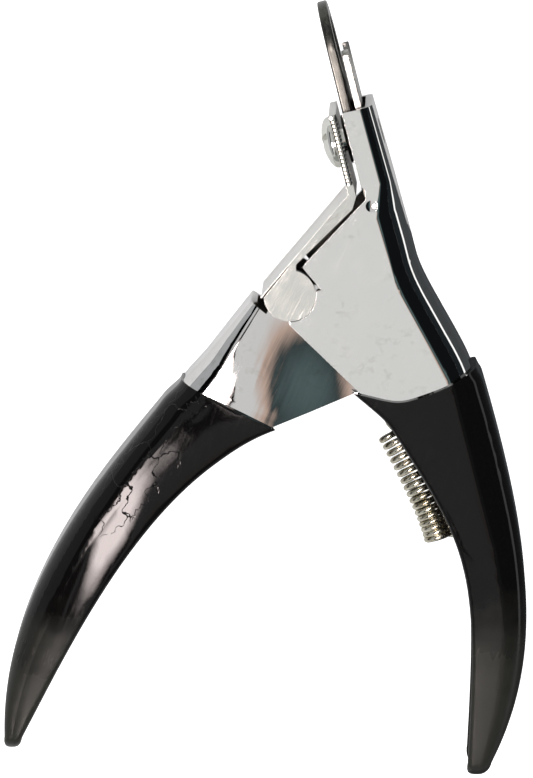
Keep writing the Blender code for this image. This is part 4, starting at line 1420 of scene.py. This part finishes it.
@dataclass
class CoverYoke:
    """The serrated cover plate with its arm, whose two ears carry the pivot pin."""

    arm_outer: float = 4.0
    arm_foot: float = -3.3
    flange_top: tuple[float, float] = (17.3, 2.06)
    flange_neck: tuple[float, float] = (4.56, 0.91)
    pitch: float = 0.65
    depth: float = 0.4
    serration_foot: float = 15.6
    ear_skin: float = 0.5

    def corner(self, back: float, out: float) -> Array:
        """Where a head plane at this depth meets an arm plane at this distance.

        Args:
            back: Depth through the head.
            out: Distance out from the arm.

        Returns:
            The plan point.
        """
        out_way = unit(ARM_ANGLE + math.pi / 2)
        rise = (out - back * float(unit(HEAD_LEAN) @ out_way)) / float(unit(HEAD_LEAN + math.pi / 2) @ out_way)
        return head(back, rise)

    def outline(self) -> Array:
        """Side outline: plate, bend, arm flange and ear.

        Returns:
            Closed side outline.
        """
        back = STACK.cover_front + SHEET.gauge
        turn = math.asin((self.arm_outer - 0.6) / EAR_RADIUS)
        end = ARM_ANGLE - math.pi - turn
        top_up, top_depth = self.flange_top
        neck_up, neck_depth = self.flange_neck
        corner = self.corner(STACK.cover_front, self.arm_outer)
        foot = arm(self.arm_foot, self.arm_outer)
        ear = arc(EAR_CENTRE, EAR_RADIUS, math.radians(76.0), end + math.radians(8.0), 60)
        bend = [corner - 1.2 * unit(ARM_ANGLE), corner - 0.25 * unit(ARM_ANGLE) + 0.12 * unit(HEAD_LEAN)]
        bend.append(corner + 1.2 * unit(HEAD_LEAN + math.pi / 2))
        rows = [
            [head(STACK.cover_front, STACK.cover_top), head(back, STACK.cover_top)],
            [head(back, self.serration_foot - 2.0), arm(top_up, self.arm_outer - top_depth)],
            [arm(neck_up, self.arm_outer - neck_depth)], ear, [foot], bend,
        ]
        return np.concatenate([np.asarray(row, float) for row in rows])

    def hollow(self) -> Array:
        """What is left open between the flanges.

        Returns:
            Closed outline of the hollow.
        """
        back = STACK.cover_front + SHEET.gauge + 0.02
        foot = self.arm_foot + 0.1
        inner = self.arm_outer - SHEET.gauge
        points = [head(back, STACK.cover_top + 3), self.corner(back, inner), arm(foot, inner)]
        points += [arm(foot, self.arm_outer + 3), arm(self.arm_foot - 8, self.arm_outer + 3)]
        points += [arm(self.arm_foot - 8, -26), head(back + 12, STACK.cover_top + 3)]
        return np.array(points)

    def crease(self) -> Array:
        """Pressed line where the arm's flange ends and the ear begins: a long thin triangle in the plan.

        Returns:
            Closed outline of the pressed line.
        """
        first, last = np.array((-0.77, 5.02)), np.array((-4.9, -0.1))
        way = (last - first) / np.linalg.norm(last - first)
        aside = np.array((-way[1], way[0]))
        return np.array([first - 0.06 * aside, last - 0.12 * aside, last + 0.12 * aside, first + 0.06 * aside])

    def comb(self, side: float) -> Array:
        """V cuts along one edge of the plate, as (width, height): a triangle wave of one pitch.

        Args:
            side: 1 for one edge of the plate, -1 for the other.

        Returns:
            Closed outline of the cuts.
        """
        count = int((STACK.cover_top - 0.4 - self.serration_foot) / self.pitch)
        steps = np.arange(2 * count + 1)
        width = SHEET.body_half + 0.02 - (self.depth + 0.02) * (steps % 2)
        teeth = np.stack([side * width, self.serration_foot + steps * self.pitch / 2], axis=1)
        far = side * (SHEET.body_half + 1.0)
        return np.concatenate([teeth, [(far, teeth[-1, 1]), (far, self.serration_foot)]])

    def build(self) -> bpy.types.Object:
        """The bent plate with its hollow, serrations, pin seats and screw hole.

        Returns:
            The finished piece.
        """
        half = SHEET.body_half
        cover = plate("cover_yoke_pressed", self.outline(), -half, half)
        hollow = plate("cover_hollow", self.hollow(), -SHEET.wall_inner, SHEET.wall_inner)
        # The hollow's cut faces take mark 1, the painted-shade finish.
        carve(cover, hollow, mark=1)
        front, back = STACK.cover_front - 0.6, STACK.cover_front + SHEET.gauge + 0.6
        for side in (-1.0, 1.0):
            carve(cover, plate("comb", self.comb(side), front, back, standing))
            low, high = sorted((side * (SHEET.wall_inner - 1), side * (half - self.ear_skin)))
            carve(cover, post("pin_seat", PIN_HOLE, low, high, (0, 0)))
            low, high = sorted((side * (half - 0.25), side * (half + 1.0)))
            # The crease's cut faces take mark 1: a dark painted-shade line along the pressed line.
            carve(cover, plate("crease", self.crease(), low, high), mark=1)
        carve(cover, head_post("cover_drill", STACK.bore, 5, back, STACK.screw_height))
        ease_edges(cover, 0.12)
        return dressed(cover, COVER_CHROME, Body.FRAME, ["cover_yoke"])


@dataclass
class ClampScrew:
    """The slotted, domed screw that clamps cover and ring plate to the body."""

    head_radius: float = 4.25
    head_height: float = 2.2
    slot: float = 1.0
    slot_depth: float = 1.1

    def build(self) -> bpy.types.Object:
        """Dome and shank turned from one profile, then slotted across the dome.

        Returns:
            The finished piece.
        """
        seat = STACK.cover_front - 0.15
        turn = np.linspace(0.02, math.pi / 2, 20)
        dome = np.stack([self.head_radius * np.sin(turn), 0.5 + (self.head_height - 0.5) * np.cos(turn)], axis=1)
        length = float(STACK.web_back(STACK.screw_height)) - SHEET.run_gap - seat
        r = STACK.screw_radius
        shank = [(self.head_radius, 0.12), (self.head_radius - 0.12, 0.0), (r, 0.0), (r, 0.4 - length)]
        profile = np.concatenate([dome, shank, [(r - 0.4, -length), (0.02, -length)]])
        axis = np.append(-unit(HEAD_LEAN), 0.0)
        centre = lying(head(seat, STACK.screw_height), 0.0)
        screw = turned("clamp_screw_turned", profile, centre, axis, 96)
        lean = math.radians(65.0)
        box = np.array([(-0.5, -6), (0.5, -6), (0.5, 6), (-0.5, 6)]) * (self.slot, 1.0)
        spin = np.array([(math.cos(lean), math.sin(lean)), (-math.sin(lean), math.cos(lean))])
        outline = box @ spin + (0.0, STACK.screw_height)
        top = seat - self.head_height + self.slot_depth
        carve(screw, plate("screw_slot", outline, top - 5, top, standing))
        ease_edges(screw, 0.1)
        return dressed(screw, COVER_CHROME, Body.FRAME, ["clamp_screw"])


# ---------------------------------------------------------------- return spring


@dataclass
class ReturnSpring:
    """Wire spring between the handles: hook, close coil on a bowed line, leg and hook."""

    wire: float = 0.5
    radius: float = 2.3
    pitch: float = 1.22
    line: tuple = ((12.9, -17.2), (17.2, -25.0), (22.6, -35.0), (24.1, -41.0))
    hook_radius: float = 1.7
    upper: tuple[float, float] = (10.4, -12.0)
    lower: tuple[float, float] = (31.5, -45.0)
    per_turn: int = 28
    coil_start: float = 0.24

    def hook(self, centre: Sequence[float], towards: Array, start: float, end: float) -> Array:
        """Open loop round a pin, its angles measured from the way to the coil.

        Args:
            centre: Middle of the pin.
            towards: Where the coil starts or ends.
            start: First angle.
            end: Last angle.

        Returns:
            Points of the loop.
        """
        way = np.subtract(towards, centre)
        bearing = math.atan2(way[1], way[0])
        return lying(arc(centre, self.hook_radius, bearing + start, bearing + end, 30), 0.0)

    def centreline(self) -> Array:
        """The wire's middle: a helix round the bowed line, its ends drawn in to the line, and a hook each end.

        Returns:
            Evenly spread points from hook to hook.
        """
        fine = cubic(self.line, np.linspace(0, 1, 200))
        turns = round(along(fine)[-1] / self.pitch)
        share = np.linspace(0.0, 1.0, round(turns * (1 - self.coil_start)) * self.per_turn + 1)
        turns = (len(share) - 1) // self.per_turn
        t = self.coil_start + (1 - self.coil_start) * share
        centre = cubic(self.line, t)
        ahead = np.gradient(centre, axis=0)
        ahead /= np.linalg.norm(ahead, axis=1, keepdims=True)
        side = np.stack([-ahead[:, 1], ahead[:, 0]], axis=1)
        angle = 2 * math.pi * turns * share
        ends = np.minimum(1.0, share * turns * 2.0 + 0.2)
        place = centre + (self.radius * ends * np.cos(angle))[:, None] * side
        coil = np.column_stack([place, self.radius * ends * np.sin(angle)])
        first = self.hook(self.upper, centre[0], math.radians(300), math.radians(50))
        last = self.hook(self.lower, centre[-1], math.radians(-60), math.radians(-300))
        entry = lying(centre[:1] - 1.3 * ahead[:1], 0.0)
        leave = lying(centre[-1:] + 0.5 * ahead[-1:] + (self.radius + 0.9) * side[-1:], 0.0)
        whole = np.concatenate([first, entry, coil, leave, last])
        return soften(resample(whole, 900), 2.0)

    def build(self) -> bpy.types.Object:
        """A round tube on the centreline: each ring is spanned by two vectors square to the wire.

        Returns:
            The finished piece.
        """
        middle = self.centreline()
        ahead = np.gradient(middle, axis=0)
        ahead /= np.linalg.norm(ahead, axis=1, keepdims=True)
        across = np.cross(ahead, np.broadcast_to((0.45, -0.89, 0.02), ahead.shape))
        across /= np.linalg.norm(across, axis=1, keepdims=True)
        other = np.cross(ahead, across)
        turn = np.linspace(0, 2 * math.pi, 12, endpoint=False)
        ring = np.cos(turn)[None, :, None] * across[:, None] + np.sin(turn)[None, :, None] * other[:, None]
        spring = tube_of_rows("return_spring_wound", middle[:, None] + self.wire * ring)
        spring.data.shade_smooth()
        spring.data.set_sharp_from_angle(angle=math.radians(60))
        dressed(spring, WIRE, None)
        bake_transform(spring)
        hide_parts("return_spring")
        return spring


def dress_pins() -> None:
    """The three plain pins keep their own shape and get turned steel."""
    for name in ("pivot_pin", "spring_anchor_pin", "spring_hook_pin"):
        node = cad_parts[name]
        for slot in node.material_slots:
            slot.material = PIN_STEEL.build()
        LOG.info("%s: carried over, %s", name, PIN_STEEL.name)


# ---------------------------------------------------------------- studio


def level(x: tuple[float, float], y: tuple[float, float], z: float) -> list[tuple[float, float, float]]:
    """Corners of a level rectangle at one height."""
    return [(x[0], y[0], z), (x[1], y[0], z), (x[1], y[1], z), (x[0], y[1], z)]


def upright(x: tuple[float, float], y: tuple[float, float], z: tuple[float, float]) -> list[tuple[float, float, float]]:
    """Corners of a rectangle that runs along y, from one place and height to another."""
    return [(x[0], y[0], z[0]), (x[0], y[1], z[0]), (x[1], y[1], z[1]), (x[1], y[0], z[1])]


@dataclass(frozen=True)
class Card:
    """A flat reflector card that only mirrors see; corners are in millimetres round the middle of the tool."""

    name: str
    corners: list[tuple[float, float, float]]
    colour: str
    strength: float
    last: str | None = None

    def light(self, tree: Tree, place: bpy.types.NodeSocket) -> dict[str, object]:
        """Colour and strength of the card, even or running to a last colour along x.

        Args:
            tree: The card's node tree.
            place: Place on the card in metres.

        Returns:
            What the emission's sockets get.
        """
        colour: object = linear(self.colour)
        if self.last is not None:
            low, high = self.corners[0][0] * MM, self.corners[1][0] * MM
            share = add(tree, "MapRange", add(tree, "SeparateXYZ", place).outputs["X"], low, high, 0.0, 1.0)
            colour = add(tree, "Mix", share, data_type="RGBA", A_Color=colour, B_Color=linear(self.last))
        return {"Color": colour, "Strength": self.strength}

    def build(self) -> None:
        """The card's mesh, its glow, and what sees it."""
        mesh = bpy.data.meshes.new(self.name)
        mesh.from_pydata((np.asarray(self.corners, float) * MM).tolist(), [], [(0, 1, 2, 3)])
        obj = bpy.data.objects.new(self.name, mesh)
        bpy.context.scene.collection.objects.link(obj)
        made, tree = empty_material(f"{self.name}_card")
        place = add(tree, "TexCoord").outputs["Object"]
        add(tree, "OutputMaterial", Surface=add(tree, "Emission", **self.light(tree, place)))
        mesh.materials.append(made)
        obj.visible_camera = obj.visible_shadow = obj.visible_diffuse = False


@dataclass(frozen=True)
class SoftBox(Card):
    """A strong card whose light fades to nothing at an oval's rim."""

    def light(self, tree: Tree, place: bpy.types.NodeSocket) -> dict[str, object]:
        """Colour and strength: full inside 0.45 of the oval's reach, then falling to nought at its rim.

        Args:
            tree: The card's node tree.
            place: Place on the card in metres.

        Returns:
            What the emission's sockets get.
        """
        away = add(tree, "VectorMath", place, (-0.14, -0.055, 0.68), operation="SUBTRACT")
        even = add(tree, "VectorMath", away, (8.2, 6.6, 0.0), operation="MULTIPLY")
        far = add(tree, "VectorMath", even, operation="LENGTH")
        return {"Color": linear(self.colour), "Strength": add(tree, "MapRange", far, 0.45, 1.0, self.strength, 0.0)}


@dataclass
class Studio:
    """Pale floor, reflector cards, soft lights and the camera."""

    distance: float = 1200.0
    view: tuple[float, float] = (0.02, 0.162)
    target: tuple[float, float] = (-4.398, -16.33)
    frame_height: float = 126.04
    near_face: float = 9.0
    ceiling: float = 700.0
    floor_reach: float = 3.0

    def build_floor(self) -> None:
        """A pale floor, which shines by itself only for the eye, so that it stays near white under the tool."""
        mesh = bpy.data.meshes.new("pale_floor")
        edge = (-self.floor_reach, self.floor_reach)
        mesh.from_pydata(level(edge, edge, 0.0), [], [(0, 1, 2, 3)])
        floor = bpy.data.objects.new("pale_floor", mesh)
        bpy.context.scene.collection.objects.link(floor)
        made, tree = empty_material("pale_floor_paint")
        seen = add(tree, "LightPath").outputs["Is Camera Ray"]
        white, pale = (1.0, 1.0, 1.0, 1.0), linear("#f4f4f4")
        paint = add(tree, "BsdfPrincipled", Base_Color=pale, Roughness=0.9, Emission_Color=white)
        paint.inputs["Specular IOR Level"].default_value = 0.1
        tree.links.new(seen, paint.inputs["Emission Strength"])
        add(tree, "OutputMaterial", Surface=paint)
        mesh.materials.append(made)

    def build_cards(self) -> None:
        """Cards that the bright metal and the gloss vinyl mirror."""
        top, front, wide, far = self.ceiling, (-900.0, 60.0), (-900.0, 900.0), (-1200.0, 1200.0)
        white, warm, teal, dark = "#f7f7f6", "#e3c6b6", "#414d4f", "#141618"
        cards = [
            Card("front_light", level((-420.0, 52.0), (-520.0, 60.0), top), white, 0.8),
            Card("warm_edge", level((52.0, 80.0), front, top), white, 0.8, warm),
            Card("warm_shade", level((80.0, 104.0), front, top), warm, 0.8, teal),
            Card("teal_screen", level((104.0, 150.0), front, top), teal, 0.8, "#6b7f80"),
            Card("teal_shade", level((150.0, 215.0), front, top), "#6b7f80", 0.8, dark),
            Card("dark_right", level((118.0, 1400.0), far, top + 2), dark, 0.8),
            Card("dark_low_right", upright((1400.0, 1400.0), far, (5.0, 700.0)), "#2a2f33", 0.6),
            Card("bright_strip", level((120.0, 1300.0), wide, 1.0), "#ffffff", 1.3),
            Card("grey_strip", level((24.0, 120.0), wide, 1.0), "#5a5d60", 0.6),
            Card("dark_left", upright((-520.0, -300.0), wide, (560.0, 695.0)), "#131416", 0.25),
            Card("grey_left", upright((-900.0, -520.0), wide, (20.0, 560.0)), "#c2c4c6", 0.85),
            SoftBox("soft_box", level((-270.0, -20.0), (-210.0, 110.0), top - 20), "#fff1ee", 44.0),
        ]
        for card in cards:
            card.build()
        LOG.info("studio: %d cards", len(cards))

    def build_light(self) -> None:
        """Even white surroundings and one large soft lamp."""
        world = bpy.context.scene.world or bpy.data.worlds.new("studio")
        bpy.context.scene.world = world
        world.use_nodes = True
        sky = world.node_tree.nodes["Background"]
        sky.inputs["Color"].default_value = (1, 1, 1, 1)
        sky.inputs["Strength"].default_value = 0.62
        lamp = bpy.data.lights.new("large_softbox", "AREA")
        lamp.shape, lamp.size, lamp.size_y, lamp.energy = "RECTANGLE", 1.2, 1.2, 12.0
        obj = bpy.data.objects.new("large_softbox", lamp)
        obj.location = (-0.3, 0.5, 1.6)
        bpy.context.scene.collection.objects.link(obj)
        obj.rotation_euler = facing(-np.array(obj.location)).to_euler()
        obj.visible_glossy = False

    def build_camera(self) -> None:
        """A long lens above the tool, leaning a little towards its head."""
        data = bpy.data.cameras.new("camera")
        data.sensor_fit, data.sensor_height, data.sensor_width = "VERTICAL", 36.0, 36.0
        data.lens = data.sensor_height * (self.distance - self.near_face) / self.frame_height
        data.clip_start, data.clip_end = 0.05, 20.0
        camera = bpy.data.objects.new("camera", data)
        bpy.context.scene.collection.objects.link(camera)
        way = np.array((*self.view, 1.0))
        way /= np.linalg.norm(way)
        target = np.array((*self.target, 0.0)) * MM + ORIGIN
        camera.location = target + self.distance * MM * way
        camera.rotation_euler = facing(-way).to_euler()
        bpy.context.scene.camera = camera

    def build(self) -> None:
        """The whole studio."""
        self.build_camera()
        self.build_floor()
        self.build_cards()
        self.build_light()
        bpy.context.scene.view_settings.view_transform = "Standard"


def facing(way: Array) -> Matrix:
    """Turn that points an object's -Z along a direction, with its X level in the plan.

    Args:
        way: Direction to look along.

    Returns:
        Rotation matrix whose columns are the object's own axes.
    """
    back = -np.asarray(way, float) / np.linalg.norm(way)
    side = np.cross((0.0, 1.0, 0.0), back)
    side /= np.linalg.norm(side)
    up = np.cross(back, side)
    return Matrix(np.column_stack([side, up, back]).tolist())


# ---------------------------------------------------------------- assembly


def main() -> None:
    """Builds every piece in order, dresses it, and sets up the studio."""
    logging.basicConfig(level=logging.INFO, format="%(name)s %(message)s")
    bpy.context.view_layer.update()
    Studio().build()
    body = FixedBody()
    body.build_metal()
    body.build_grip()
    lever = Lever()
    lever.build_metal()
    lever.build_grip()
    RingPlate().build()
    Blade().build()
    CoverYoke().build()
    ClampScrew().build()
    ReturnSpring().build()
    dress_pins()


if __name__ == "__main__":
    main()
